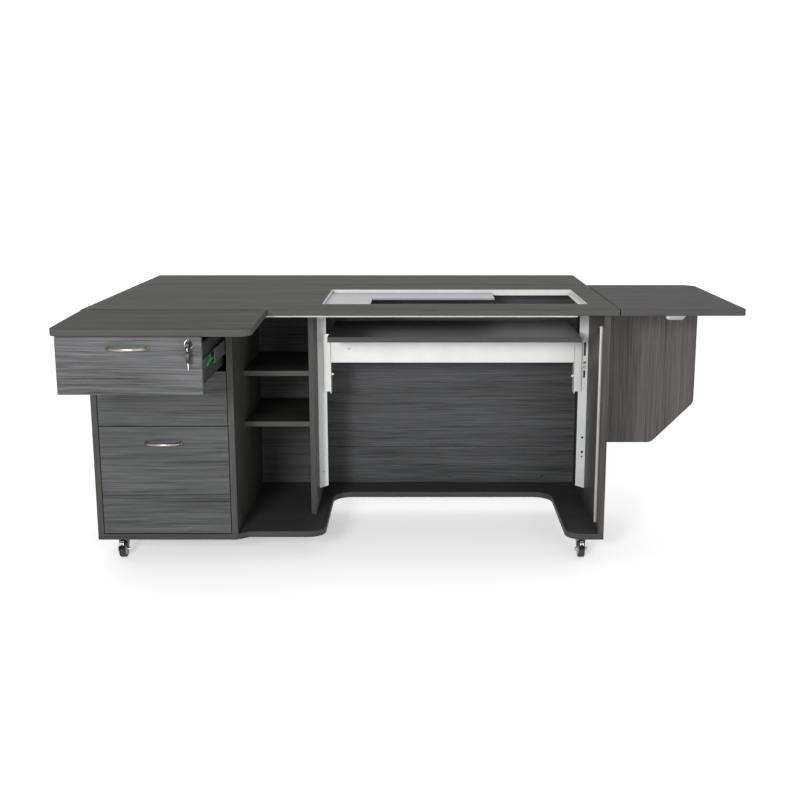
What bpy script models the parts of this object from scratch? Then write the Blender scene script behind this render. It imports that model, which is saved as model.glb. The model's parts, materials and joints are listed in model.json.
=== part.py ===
"""Sewing table: a cabinet with a machine lift, three drawers, a shelf bay and fold-out leaves.

Blender 4.5, metres, +Z up.  Pieces are drawn in the cabinet's own coordinates: x = 0 at the
left side panel's outer face, y = 0 at the side panels' front edges, z = 0 on the floor.  One
empty moves all of them, so that the whole table stands centred on the world origin.
"""
from math import asin, cos, pi, radians, sin

import bmesh
import bpy
from mathutils import Matrix, Vector

for old in list(bpy.data.objects):
    bpy.data.objects.remove(old)

# ---- driving dimensions: boards and carcass ---------------------------------------------
BOARD = 0.018                  # laminated board
SHELF_BOARD = 0.016            # the two thinner shelves
EDGE_ROUND = 0.001             # rounding of every board's edge band
SEAT_GAP = 0.0003              # between two pieces that touch
TOP_HEIGHT = 0.765             # floor to the table's surface
CABINET_DEPTH = 0.572          # side panels, front to back
DRAWER_BAY_WIDTH = 0.380       # between the left panel and the partition
SHELF_BAY_WIDTH = 0.200        # between the partition and the knee panel
KNEE_WIDTH = 0.850             # between the knee panel and the right panel
KNEE_PANEL_SETBACK = 0.194     # knee panel and shelves, behind the front edges
LOW_SHELF_HEIGHT = 0.374       # underside, above the floor
HIGH_SHELF_HEIGHT = 0.533      # underside, above the floor
LOW_BACK_HEIGHT = 0.127        # fixed lower back of the knee space
BACK_SEAM = 0.0015             # between the two backs of the knee space

# ---- driving dimensions: base board ------------------------------------------------------
BASE_STEP_BACK = 0.024         # front edge set back under the shelf bay
BASE_STEP_RUN = 0.045          # length of the S curve of that step
BASE_LEFT_TONGUE = 0.038       # base seen to the right of the knee panel
BASE_RIGHT_TONGUE = 0.092      # base seen to the left of the right panel
BASE_BACK_STRIP = 0.134        # base behind the knee cut-out
BASE_CORNER = 0.050            # outer corner radius
BASE_INNER_CORNER = 0.060      # inner corner radius

# ---- driving dimensions: top and leaves --------------------------------------------------
TOP_OVER_LEFT = 0.004
TOP_OVER_RIGHT = 0.020
TOP_OVER_FRONT = 0.026
TOP_OVER_BACK = 0.078
LEAF_SEAM = 0.003              # gap between the top and each leaf
BACK_LEAF_DEPTH = 0.322
SIDE_LEAF_WIDTH = 0.357
SIDE_LEAF_DEPTH = 0.657
SIDE_LEAF_CORNER = 0.018       # front outer corner radius
SIDE_LEAF_CHAMFER = 0.028      # rear outer corner, cut at 45 degrees
FRONT_LEAF_WIDTH = 0.522
FRONT_LEAF_DEPTH = 0.3145
FRONT_LEAF_CORNER = 0.030
PIN_RADIUS = 0.0011            # pin line of the continuous seam hinges
PIN_ABOVE_UNDERSIDE = 0.0014   # drop leaves: pin axis above the boards' underside
PIN_ABOVE_SURFACE = 0.0005     # fold-over leaf: pin axis above the table's surface
GATE_LENGTH = 0.320            # swinging support under the side leaf
GATE_HEIGHT = 0.449
GATE_FACE = 0.300              # y of its front face
GATE_CHAMFER = 0.130
GATE_CORNER = 0.030
GATE_BARREL = 0.0028           # radius of its hinge's barrel
GATE_CLEARANCE = 0.0005        # edge of the gate to the right panel
GATE_HINGE_MARGIN = 0.018      # ends of its hinge to the gate's top and foot
GATE_HINGE_LEAF = 0.030
LATCH_WIDTH = 0.064
LATCH_DROP = 0.055
LATCH_FROM_END = 0.036         # from the gate's free end
LATCH_SHEET = 0.0025
LATCH_FOOT = 0.030

# ---- driving dimensions: machine opening and lift ----------------------------------------
OPENING_SIDE_MARGIN = 0.0345   # opening's sides to the panels of the knee space
OPENING_FRONT = 0.104          # y of the opening's front edge
OPENING_BACK_MARGIN = 0.064    # opening's back edge to the back panels
RIM_WALL = 0.0016
RIM_LEDGE = 0.009              # ledge, measured from the rim's outer face
RIM_LEDGE_THICK = 0.002
INSERT_THICK = 0.0055
INSERT_PLAY = 0.0008           # acrylic insert to the rim's wall
INSERT_LEFT_WIDTH = 0.138
INSERT_REAR_DEPTH = 0.156
INSERT_REACH = 0.522           # length of its rear arm, from the opening's left edge
PLATFORM_BOARD = 0.016
PLATFORM_DROP = 0.1005         # table surface to the platform's surface, as it stands
PLATFORM_PLAY = 0.0030         # platform to the rim's ledge, all round
RAIL_FLANGE = 0.028
RAIL_DEPTH = 0.070
RAIL_SHEET = 0.002
RAIL_FOOT = 0.147              # z of the rails' lower ends
RAIL_FOOT_RISE = 0.009         # slope of the cut across the flange
BRACKET_REACH = 0.0205         # bracket's outer face to the panel beside it
BRACKET_WIDTH = 0.022
BRACKET_HEIGHT = 0.183
BRACKET_SHEET = 0.0025
BRACKET_DEPTH = 0.046
BRACKET_TAB = 0.007            # web's lower end below the front flange
BRACKET_STANDOFF = 0.009       # bracket's front face ahead of the rail
SLIDER_HEIGHT = 0.130
SLIDER_PLAY = 0.0040
BEAM_HEIGHT = 0.0905
BEAM_SHEET = 0.0025
BEAM_LIP = 0.030
STRUT_RADIUS = 0.0080
STRUT_LENGTH = 0.220
STRUT_ROD_RADIUS = 0.0040
STRUT_ROD_LENGTH = 0.177
STRUT_ROD_OUT = 0.137          # rod showing above the strut, as it stands
STRUT_BORE_PLAY = 0.0006
STRUT_FLOOR = 0.010            # solid lower end of the strut
STIFFENER_END = 0.078          # right panel to the end of the strip under the top
STIFFENER_WIDTH = 0.020
STIFFENER_HEIGHT = 0.0065

# ---- driving dimensions: drawers ----------------------------------------------------------
FRONT_THICK = 0.018
FRONT_SIDE_GAP = 0.002
FRONT_GAP = 0.003              # between one drawer front and the next
TOP_FRONT_CLEARANCE = 0.0115   # above the top drawer's front, under the table top
TOP_FRONT_HEIGHT = 0.1505
MIDDLE_FRONT_HEIGHT = 0.1600
TOP_DRAWER_OPEN = 0.3485       # how far the top drawer stands open
BOX_BACK_CLEARANCE = 0.0857    # drawer box to the back panel, shut
BOX_WALL = 0.012
BOX_FLOOR = 0.008
BOX_BELOW_FRONT_TOP = 0.026
BOX_ABOVE_FRONT_FOOT = 0.014
SLIDE_SPACE = 0.0130           # beside the drawer box, for its slide
SLIDE_SHEET = 0.0012
SLIDE_HEIGHT = 0.045           # outer member
SLIDE_NEST = 0.0035            # each member's edge inside the next one's
SLIDE_WEB_STEP = 0.0032        # outer member's web to the middle one's
SLIDE_CLEARANCE = 0.0025       # outer member's lips to the drawer box
SLIDE_LIP_STEP = 0.0005        # outer member's lips to the middle one's
HANDLE_LENGTH = 0.112
HANDLE_RISE = 0.022
HANDLE_RADIUS = 0.0042
HANDLE_FOOT_RADIUS = 0.0058
HANDLE_FROM_TOP = (0.0295, 0.0400, 0.0495)
LOCK_FROM_RIGHT = 0.031
LOCK_FROM_TOP = 0.0175
LOCK_RADIUS = 0.0120
LOCK_FACE = 0.0035
LOCK_EDGE = 0.0012             # chamfer round its face
LOCK_BARREL_RADIUS = 0.0092
LOCK_HOLE_PLAY = 0.0004
KEY_REACH = 0.024
KEY_BOW = 0.0095
KEY_THICK = 0.0024
KEY_EYE = 0.0025
KEY_WELD = 0.0020              # shank or blade let into the bow
KEY_SHANK_RADIUS = 0.0022
SPARE_KEY_LENGTH = 0.052
SPARE_KEY_BELOW = 0.0030       # bow of the first key to the bow of the second
SPARE_EYE = 0.0020
SPARE_EYE_FROM_EDGE = 0.0040
SPARE_BLADE = (0.0020, 0.0070)

# ---- driving dimensions: strip and casters -------------------------------------------------
STRIP_WIDTH = 0.012
STRIP_PROUD = 0.012
STRIP_FOOT = 0.117
STRIP_BELOW_TOP = 0.0367       # its upper end below the underside of the top
STRIP_FROM_FRONT = 0.030
WHEEL_RADIUS = 0.0250
WHEEL_WIDTH = 0.0210
WHEEL_HEADROOM = 0.0096        # wheel to the fork's crown
WHEEL_PLAY = 0.0015            # wheel to the fork's cheeks
TREAD_ROUND = (0.0015, 0.006)  # rounding of the tread's edges
AXLE_RADIUS = 0.0038
AXLE_PLAY = 0.0004
AXLE_PROUD = 0.0010            # axle's ends beyond the cheeks
CHEEK_FOOT_RADIUS = 0.0085
FORK_SHEET = 0.0030
FORK_TRAIL = 0.0170
SWIVEL_RADIUS = 0.0215
SWIVEL_HEIGHT = 0.0110
SWIVEL_EDGE = 0.004            # chamfer under the swivel head
CASTER_INSET = 0.058           # swivel axis to the base's ends and back edge
CASTER_SETBACK = 0.078         # front swivel axes to the base's front edge
CASTER_TURNS = (180, 180, 25, 160)    # degrees each caster has swivelled

# ---- derived places ------------------------------------------------------------------------
crown_low = 2 * WHEEL_RADIUS + WHEEL_HEADROOM
caster_height = crown_low + FORK_SHEET + SWIVEL_HEIGHT
base_top = caster_height + BOARD
top_under = TOP_HEIGHT - BOARD
partition_left = BOARD + DRAWER_BAY_WIDTH
partition_right = partition_left + BOARD
knee_panel_left = partition_right + SHELF_BAY_WIDTH
knee_left = knee_panel_left + BOARD
knee_right = knee_left + KNEE_WIDTH
cabinet_width = knee_right + BOARD
knee_centre = (knee_left + knee_right) / 2
back_face = CABINET_DEPTH - BOARD
top_left = -TOP_OVER_LEFT
top_right = cabinet_width + TOP_OVER_RIGHT
top_front = -TOP_OVER_FRONT
top_back = CABINET_DEPTH + TOP_OVER_BACK
side_leaf_left = top_right + LEAF_SEAM
side_leaf_right = side_leaf_left + SIDE_LEAF_WIDTH
back_leaf_front = top_back + LEAF_SEAM
back_leaf_back = back_leaf_front + BACK_LEAF_DEPTH

handle_reach = SEAT_GAP + HANDLE_RISE + HANDLE_RADIUS
key_reach = SEAT_GAP + LOCK_FACE + SEAT_GAP + KEY_REACH
origin_x = (top_left + side_leaf_right) / 2
origin_y = (back_leaf_back - TOP_DRAWER_OPEN - max(handle_reach, key_reach)) / 2

# ---- finishes ------------------------------------------------------------------------------
GREY_WOOD = (0.110, 0.108, 0.106)
DARK_WOOD = (0.075, 0.074, 0.073)
WARM_WOOD = (0.128, 0.112, 0.106)
WHITE_PAINT = (0.760, 0.755, 0.730)
RAIL_GREY = (0.520, 0.540, 0.540)
BRUSHED_NICKEL = (0.480, 0.430, 0.360)
ZINC = (0.560, 0.570, 0.580)
BLACK_PLASTIC = (0.016, 0.016, 0.018)
CLEAR_ACRYLIC = (0.620, 0.620, 0.660)


def finish(piece, colour, roughness, metallic=0.0):
    """Give a piece its own Principled material."""
    material = bpy.data.materials.new(piece.name)
    material.use_nodes = True
    shader = material.node_tree.nodes["Principled BSDF"]
    shader.inputs["Base Color"].default_value = (*colour, 1.0)
    shader.inputs["Roughness"].default_value = roughness
    shader.inputs["Metallic"].default_value = metallic
    material.diffuse_color = (*colour, 1.0)
    piece.data.materials.clear()
    piece.data.materials.append(material)
    return piece


# ---- where the pieces hang -------------------------------------------------------------------
def pivot(name, place, parent=None, turn=(0.0, 0.0, 0.0)):
    """An empty on a joint's axis; place is in cabinet coordinates, before the parent moves."""
    empty = bpy.data.objects.new(name, None)
    bpy.context.scene.collection.objects.link(empty)
    empty.parent = parent
    home = Vector(parent["home"]) if parent else Vector((0.0, 0.0, 0.0))
    empty.location = Vector(place) - home
    empty.rotation_euler = turn
    empty["home"] = tuple(place)
    return empty


table = pivot("table_origin", (0.0, 0.0, 0.0))
table.location = (-origin_x, -origin_y, 0.0)


def hang(piece, parent):
    """Parent a piece drawn in cabinet coordinates to an empty, about the empty's own point."""
    piece.data.transform(Matrix.Translation(-Vector(parent["home"])))
    piece.parent = parent
    return piece


def new_piece(name, mesh):
    """Turn a bmesh into a linked object with outward faces."""
    bmesh.ops.recalc_face_normals(mesh, faces=mesh.faces)
    data = bpy.data.meshes.new(name)
    mesh.to_mesh(data)
    mesh.free()
    piece = bpy.data.objects.new(name, data)
    bpy.context.scene.collection.objects.link(piece)
    return piece


# ---- shapes ------------------------------------------------------------------------------------
def block(name, low, high):
    """A rectangular solid between two corners."""
    mesh = bmesh.new()
    bmesh.ops.create_cube(mesh, size=1.0)
    low = Vector(low)
    high = Vector(high)
    bmesh.ops.scale(mesh, vec=high - low, verts=mesh.verts)
    bmesh.ops.translate(mesh, vec=(low + high) / 2, verts=mesh.verts)
    return new_piece(name, mesh)


AXES = {"X": (Vector((0, 1, 0)), Vector((0, 0, 1)), Vector((1, 0, 0))),
        "Y": (Vector((1, 0, 0)), Vector((0, 0, 1)), Vector((0, 1, 0))),
        "Z": (Vector((1, 0, 0)), Vector((0, 1, 0)), Vector((0, 0, 1)))}


def prism(name, outline, start, end, axis="Z", holes=()):
    """Extrude a closed outline, with any holes in it, from start to end along an axis."""
    across, up, along = AXES[axis]
    mesh = bmesh.new()
    edges = []
    for loop in (outline, *holes):
        verts = [mesh.verts.new(across * u + up * v + along * start) for u, v in loop]
        edges += [mesh.edges.new((verts[i - 1], verts[i])) for i in range(len(verts))]
    bmesh.ops.triangle_fill(mesh, use_beauty=True, edges=edges)
    grown = bmesh.ops.extrude_face_region(mesh, geom=mesh.faces[:])
    moved = [item for item in grown["geom"] if isinstance(item, bmesh.types.BMVert)]
    bmesh.ops.translate(mesh, vec=along * (end - start), verts=moved)
    return new_piece(name, mesh)


def turned(name, profile, centre, axis="Z", steps=24, closed=False):
    """Spin a profile of (radius, distance along the axis) round an axis through centre."""
    across, up, along = AXES[axis]
    mesh = bmesh.new()
    verts = [mesh.verts.new(across * r + along * h) for r, h in profile]
    edges = [mesh.edges.new(pair) for pair in zip(verts, verts[1:])]
    if closed:
        edges.append(mesh.edges.new((verts[-1], verts[0])))
    bmesh.ops.spin(mesh, geom=verts + edges, cent=(0, 0, 0), axis=along, angle=2 * pi,
                   steps=steps, use_duplicate=False)
    bmesh.ops.remove_doubles(mesh, verts=mesh.verts, dist=1e-6)
    bmesh.ops.translate(mesh, vec=Vector(centre), verts=mesh.verts)
    piece = new_piece(name, mesh)
    piece.data.shade_smooth()
    piece.data.set_sharp_from_angle(angle=radians(35))
    return piece


def rod(name, radius, start, end, steps=20):
    """A plain round bar between two points."""
    start = Vector(start)
    run = Vector(end) - start
    mesh = bmesh.new()
    bmesh.ops.create_cone(mesh, cap_ends=True, segments=steps, radius1=radius, radius2=radius,
                          depth=run.length)
    turn = Vector((0, 0, 1)).rotation_difference(run).to_matrix()
    bmesh.ops.rotate(mesh, matrix=turn, verts=mesh.verts)
    bmesh.ops.translate(mesh, vec=start + run / 2, verts=mesh.verts)
    piece = new_piece(name, mesh)
    piece.data.shade_smooth()
    piece.data.set_sharp_from_angle(angle=radians(35))
    return piece


def joined(pieces, operation="UNION"):
    """Weld overlapping pieces, or cut the others out of the first, and keep its name."""
    body = pieces[0]
    for other in pieces[1:]:
        change = body.modifiers.new("change", "BOOLEAN")
        change.operation = operation
        change.solver = "EXACT"
        change.object = other
        graph = bpy.context.evaluated_depsgraph_get()
        data = bpy.data.meshes.new_from_object(body.evaluated_get(graph))
        body.modifiers.clear()
        body.data = data
        bpy.data.objects.remove(other)
    return body


def softened(piece, width=EDGE_ROUND, segments=2):
    """Round a board's edges as its edge band is rounded."""
    bevel = piece.modifiers.new("edge_round", "BEVEL")
    bevel.width = width
    bevel.segments = segments
    bevel.limit_method = "ANGLE"
    bevel.angle_limit = radians(40)
    return piece


def arc(centre, radius, first, last, steps=6):
    """Points on an arc, with angles in degrees."""
    turns = [radians(first + (last - first) * i / steps) for i in range(steps + 1)]
    return [(centre[0] + radius * cos(t), centre[1] + radius * sin(t)) for t in turns]


def rounded_corner(before, corner, after, radius, steps=6):
    """Replace one corner of an outline by an arc that meets both sides."""
    corner = Vector(corner)
    to_before = (Vector(before) - corner).normalized()
    to_after = (Vector(after) - corner).normalized()
    half = to_before.angle(to_after) / 2
    centre = corner + (to_before + to_after).normalized() * (radius / sin(half))
    first = corner + to_before * (radius * cos(half) / sin(half)) - centre
    last = corner + to_after * (radius * cos(half) / sin(half)) - centre
    sweep = first.angle_signed(last)
    points = []
    for i in range(steps + 1):
        turn = Matrix.Rotation(-sweep * i / steps, 2)
        points.append(tuple(centre + turn @ first))
    return points


def rounded(outline, radii, steps=6):
    """An outline with each corner rounded to its own radius; 0 keeps the corner."""
    points = []
    for i, radius in enumerate(radii):
        before = outline[i - 1]
        after = outline[(i + 1) % len(outline)]
        if radius > 0:
            points += rounded_corner(before, outline[i], after, radius, steps)
        else:
            points.append(outline[i])
    return points


def rectangle(low, high):
    """The four corners of a rectangle, anticlockwise."""
    return [low, (high[0], low[1]), high, (low[0], high[1])]


# ---- base board ---------------------------------------------------------------------------------
cutout_left = knee_left + BASE_LEFT_TONGUE
cutout_right = knee_right - BASE_RIGHT_TONGUE
step_start = partition_left + BOARD / 2
step_curve = []
for i in range(9):
    share = i / 8
    rise = (1 - cos(pi * share)) / 2
    step_curve.append((step_start + BASE_STEP_RUN * share, BASE_STEP_BACK * rise))
cutout_back = CABINET_DEPTH - BASE_BACK_STRIP
base_corners = [(0.0, 0.0), *step_curve, (cutout_left, BASE_STEP_BACK), (cutout_left, cutout_back),
                (cutout_right, cutout_back), (cutout_right, 0.0), (cabinet_width, 0.0),
                (cabinet_width, CABINET_DEPTH), (0.0, CABINET_DEPTH)]
base_radii = [0.0] * (len(step_curve) + 1)
base_radii += [BASE_CORNER, BASE_INNER_CORNER, BASE_INNER_CORNER, BASE_CORNER, 0.0, 0.0, 0.0]
base_outline = rounded(base_corners, base_radii)
base_board = prism("base_board", base_outline, caster_height, base_top)
finish(hang(softened(base_board), table), DARK_WOOD, 0.45)

# ---- carcass panels -----------------------------------------------------------------------------
stand = base_top + SEAT_GAP
reach = top_under - SEAT_GAP


def panel(name, left, right, front, back, low=stand, high=reach, colour=GREY_WOOD):
    """A board of the carcass."""
    piece = block(name, (left, front, low), (right, back, high))
    return finish(hang(softened(piece), table), colour, 0.45)


panel("left_side_panel", 0.0, BOARD, 0.0, CABINET_DEPTH)
panel("drawer_partition", partition_left, partition_right, 0.0, back_face - SEAT_GAP)
panel("knee_panel", knee_panel_left, knee_left, KNEE_PANEL_SETBACK, CABINET_DEPTH)
panel("right_side_panel", knee_right, cabinet_width, 0.0, CABINET_DEPTH, colour=WARM_WOOD)
panel("storage_back", BOARD + SEAT_GAP, knee_panel_left - SEAT_GAP, back_face, CABINET_DEPTH,
      colour=DARK_WOOD)
low_back_top = stand + LOW_BACK_HEIGHT
panel("knee_back_lower", knee_left + SEAT_GAP, knee_right - SEAT_GAP, back_face, CABINET_DEPTH,
      high=low_back_top, colour=DARK_WOOD)
panel("knee_back_upper", knee_left + SEAT_GAP, knee_right - SEAT_GAP, back_face, CABINET_DEPTH,
      low=low_back_top + BACK_SEAM, colour=DARK_WOOD)
for shelf_name, shelf_low in (("lower_shelf", LOW_SHELF_HEIGHT), ("upper_shelf", HIGH_SHELF_HEIGHT)):
    panel(shelf_name, partition_right + SEAT_GAP, knee_panel_left - SEAT_GAP, KNEE_PANEL_SETBACK,
          back_face - SEAT_GAP, shelf_low, shelf_low + SHELF_BOARD)

# ---- main top with the machine opening -------------------------------------------------------------
opening_left = knee_left + OPENING_SIDE_MARGIN
opening_right = knee_right - OPENING_SIDE_MARGIN
opening_back = back_face - OPENING_BACK_MARGIN
opening = rectangle((opening_left, OPENING_FRONT), (opening_right, opening_back))
main_top = prism("main_top", rectangle((top_left, top_front), (top_right, top_back)),
                 top_under, TOP_HEIGHT, holes=[opening])
finish(hang(softened(main_top), table), GREY_WOOD, 0.42)


def ring(name, outer, inner_low, inner_high, low, step, high):
    """An angle-section frame: a wall from low to high, and a ledge up to step inside it."""
    mesh = bmesh.new()
    loops = []
    for loop, height in ((outer, low), (outer, high), (inner_high, high), (inner_high, step),
                         (inner_low, step), (inner_low, low)):
        loops.append([mesh.verts.new((x, y, height)) for x, y in loop])
    for here, there in zip(loops, loops[1:] + loops[:1]):
        for i in range(len(here)):
            mesh.faces.new((here[i - 1], here[i], there[i], there[i - 1]))
    return new_piece(name, mesh)


def inset(distance):
    """The machine opening's rectangle, drawn in by a distance."""
    return rectangle((opening_left + distance, OPENING_FRONT + distance),
                     (opening_right - distance, opening_back - distance))


rim_outer = SEAT_GAP
ledge_top = top_under + RIM_LEDGE_THICK
opening_rim = ring("opening_rim", inset(rim_outer), inset(rim_outer + RIM_LEDGE),
                   inset(rim_outer + RIM_WALL), top_under, ledge_top, TOP_HEIGHT - SEAT_GAP)
finish(hang(opening_rim, table), WHITE_PAINT, 0.4)

# L-shaped acrylic insert that lies on the ledge and fills in round the machine's bed
insert_left, insert_front = inset(rim_outer + RIM_WALL + INSERT_PLAY)[0]
insert_back = inset(rim_outer + RIM_WALL + INSERT_PLAY)[2][1]
insert_outline = [(insert_left, insert_front),
                  (opening_left + INSERT_LEFT_WIDTH, insert_front),
                  (opening_left + INSERT_LEFT_WIDTH, opening_back - INSERT_REAR_DEPTH),
                  (opening_left + INSERT_REACH, opening_back - INSERT_REAR_DEPTH),
                  (opening_left + INSERT_REACH, insert_back),
                  (insert_left, insert_back)]
insert_low = ledge_top + SEAT_GAP
insert_pivot = pivot("insert_lift", (opening_left, opening_back, insert_low), table)
acrylic_insert = prism("acrylic_insert", insert_outline, insert_low, insert_low + INSERT_THICK)
finish(hang(softened(acrylic_insert, 0.0005, 1), insert_pivot), CLEAR_ACRYLIC, 0.25)

# steel strip under the front edge of the top, and the strip on the right panel
top_stiffener = block("top_stiffener", (partition_right + SEAT_GAP, 0.0, reach - STIFFENER_HEIGHT),
                      (knee_right - STIFFENER_END, STIFFENER_WIDTH, reach))
finish(hang(top_stiffener, table), WHITE_PAINT, 0.4)

strip_y = STRIP_FROM_FRONT + STRIP_WIDTH / 2
strip_top = reach - STRIP_BELOW_TOP
strip_outline = arc((strip_y, strip_top - STRIP_WIDTH / 2), STRIP_WIDTH / 2, 0, 180)
strip_outline += arc((strip_y, STRIP_FOOT + STRIP_WIDTH / 2), STRIP_WIDTH / 2, 180, 360)
panel_strip = prism("panel_strip", strip_outline, knee_right - STRIP_PROUD - SEAT_GAP,
                    knee_right - SEAT_GAP, axis="X")
finish(hang(softened(panel_strip, 0.002), table), RAIL_GREY, 0.35, 0.6)

# ---- leaves ---------------------------------------------------------------------------------------
drop_pin = top_under + PIN_ABOVE_UNDERSIDE
fold_pin = TOP_HEIGHT + PIN_ABOVE_SURFACE

back_hinge_y = top_back + LEAF_SEAM / 2
back_pivot = pivot("back_leaf_drop", (0.0, back_hinge_y, drop_pin), table)
back_leaf = block("back_leaf", (top_left, back_leaf_front, top_under),
                  (top_right, back_leaf_back, TOP_HEIGHT))
finish(hang(softened(back_leaf), back_pivot), GREY_WOOD, 0.42)

side_hinge_x = top_right + LEAF_SEAM / 2
side_pivot = pivot("side_leaf_lift", (side_hinge_x, 0.0, drop_pin), table)
side_outline = [(side_leaf_left, top_front), (side_leaf_right, top_front)]
side_back = top_front + SIDE_LEAF_DEPTH
side_outline = [side_outline[0],
                *rounded_corner(*side_outline, (side_leaf_right, side_back), SIDE_LEAF_CORNER),
                (side_leaf_right, side_back - SIDE_LEAF_CHAMFER),
                (side_leaf_right - SIDE_LEAF_CHAMFER, side_back),
                (side_leaf_left, side_back)]
side_leaf = prism("side_leaf", side_outline, top_under, TOP_HEIGHT)
finish(hang(softened(side_leaf), side_pivot), WARM_WOOD, 0.42)

# The fold-over leaf droops until its front edge lies on the open top drawer's front.
front_leaf_back = top_front - LEAF_SEAM
front_hinge_y = top_front - LEAF_SEAM / 2
drawer_face = -TOP_DRAWER_OPEN
leaf_rest_reach = min(FRONT_LEAF_DEPTH, front_leaf_back - drawer_face)
front_leaf_droop = asin((TOP_FRONT_CLEARANCE - SEAT_GAP) / leaf_rest_reach)
front_pivot = pivot("front_leaf_fold", (0.0, front_hinge_y, fold_pin), table,
                    (front_leaf_droop, 0.0, 0.0))
leaf_front = front_leaf_back - FRONT_LEAF_DEPTH
front_outline = rounded([(0.0, leaf_front), (FRONT_LEAF_WIDTH, leaf_front),
                         (FRONT_LEAF_WIDTH, front_leaf_back), (0.0, front_leaf_back)],
                        [FRONT_LEAF_CORNER, FRONT_LEAF_CORNER, 0.0, 0.0], steps=8)
front_leaf = prism("front_leaf", front_outline, top_under, TOP_HEIGHT)
finish(hang(softened(front_leaf), front_pivot), GREY_WOOD, 0.42)

# continuous pin lines of the three leaf hinges, in the seams
for pin_name, pin_start, pin_end in (
        ("back_leaf_hinge", (0.0, back_hinge_y, drop_pin), (cabinet_width, back_hinge_y, drop_pin)),
        ("side_leaf_hinge", (side_hinge_x, 0.0, drop_pin), (side_hinge_x, CABINET_DEPTH, drop_pin)),
        ("front_leaf_hinge", (BOARD, front_hinge_y, fold_pin),
         (FRONT_LEAF_WIDTH - BOARD, front_hinge_y, fold_pin))):
    pin = rod(pin_name, PIN_RADIUS, pin_start, pin_end, steps=10)
    finish(hang(pin, table), ZINC, 0.35, 1.0)

# ---- gate under the side leaf ------------------------------------------------------------------------
gate_axis_x = cabinet_width + GATE_CLEARANCE + GATE_BARREL + SEAT_GAP
gate_axis_y = GATE_FACE + BOARD + GATE_BARREL + SEAT_GAP
gate_left = cabinet_width + GATE_CLEARANCE
gate_right = gate_left + GATE_LENGTH
gate_foot = reach - GATE_HEIGHT
gate_pivot = pivot("gate_swing", (gate_axis_x, gate_axis_y, gate_foot), table)
gate_outline = rounded([(gate_left, gate_foot), (gate_right - GATE_CHAMFER, gate_foot),
                        (gate_right, gate_foot + GATE_CHAMFER), (gate_right, reach),
                        (gate_left, reach)], [0.0, GATE_CORNER, GATE_CORNER, 0.0, 0.0])
gate_panel = prism("gate_panel", gate_outline, GATE_FACE, GATE_FACE + BOARD, axis="Y")
finish(hang(softened(gate_panel), gate_pivot), WARM_WOOD, 0.45)

hinge_low = gate_foot + GATE_HINGE_MARGIN
hinge_high = reach - GATE_HINGE_MARGIN
hinge_face = cabinet_width + SEAT_GAP
hinge_plate = block("gate_hinge", (hinge_face, gate_axis_y, hinge_low),
                    (hinge_face + GATE_BARREL, gate_axis_y + GATE_HINGE_LEAF, hinge_high))
hinge_barrel = rod("hinge_barrel", GATE_BARREL, (gate_axis_x, gate_axis_y, hinge_low),
                   (gate_axis_x, gate_axis_y, hinge_high), steps=12)
finish(hang(joined([hinge_plate, hinge_barrel]), table), ZINC, 0.35, 1.0)

latch_right = gate_right - LATCH_FROM_END
latch_left = latch_right - LATCH_WIDTH
latch_back = GATE_FACE - SEAT_GAP
latch_foot = reach - LATCH_DROP
tab_outline = rounded([(latch_left, latch_foot), (latch_right - LATCH_FOOT / 3, latch_foot),
                       (latch_right, latch_foot + LATCH_FOOT / 3), (latch_right, reach),
                       (latch_left, reach)], [LATCH_FOOT / 5, 0.0, 0.0, 0.0, 0.0])
latch_tab = prism("gate_latch", tab_outline, latch_back - LATCH_SHEET, latch_back, axis="Y")
latch_plate = block("latch_plate", (latch_left, latch_back - LATCH_FOOT, reach - LATCH_SHEET),
                    (latch_right, latch_back, reach))
finish(hang(joined([latch_tab, latch_plate]), side_pivot), ZINC, 0.35, 1.0)

# ---- machine lift ---------------------------------------------------------------------------------------
platform_top = TOP_HEIGHT - PLATFORM_DROP
platform_under = platform_top - PLATFORM_BOARD
rail_front = (OPENING_FRONT + opening_back) / 2
lift_pivot = pivot("machine_lift", (knee_centre, rail_front, platform_under), table)
platform_low, _, platform_high, _ = inset(rim_outer + RIM_LEDGE + PLATFORM_PLAY)
lift_platform = block("lift_platform", (*platform_low, platform_under), (*platform_high, platform_top))
finish(hang(softened(lift_platform), lift_pivot), DARK_WOOD, 0.45)

bracket_front = rail_front - BRACKET_STANDOFF
carrier_top = platform_under - SEAT_GAP
bracket_foot = carrier_top - BRACKET_HEIGHT
rod_pivot = pivot("gas_rods", (knee_centre, rail_front, RAIL_FOOT), table)
strut_y = rail_front + RAIL_DEPTH - RAIL_SHEET - STRUT_RADIUS - SLIDER_PLAY
strut_foot = RAIL_FOOT + RAIL_FOOT_RISE
strut_top = strut_foot + STRUT_LENGTH

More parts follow.
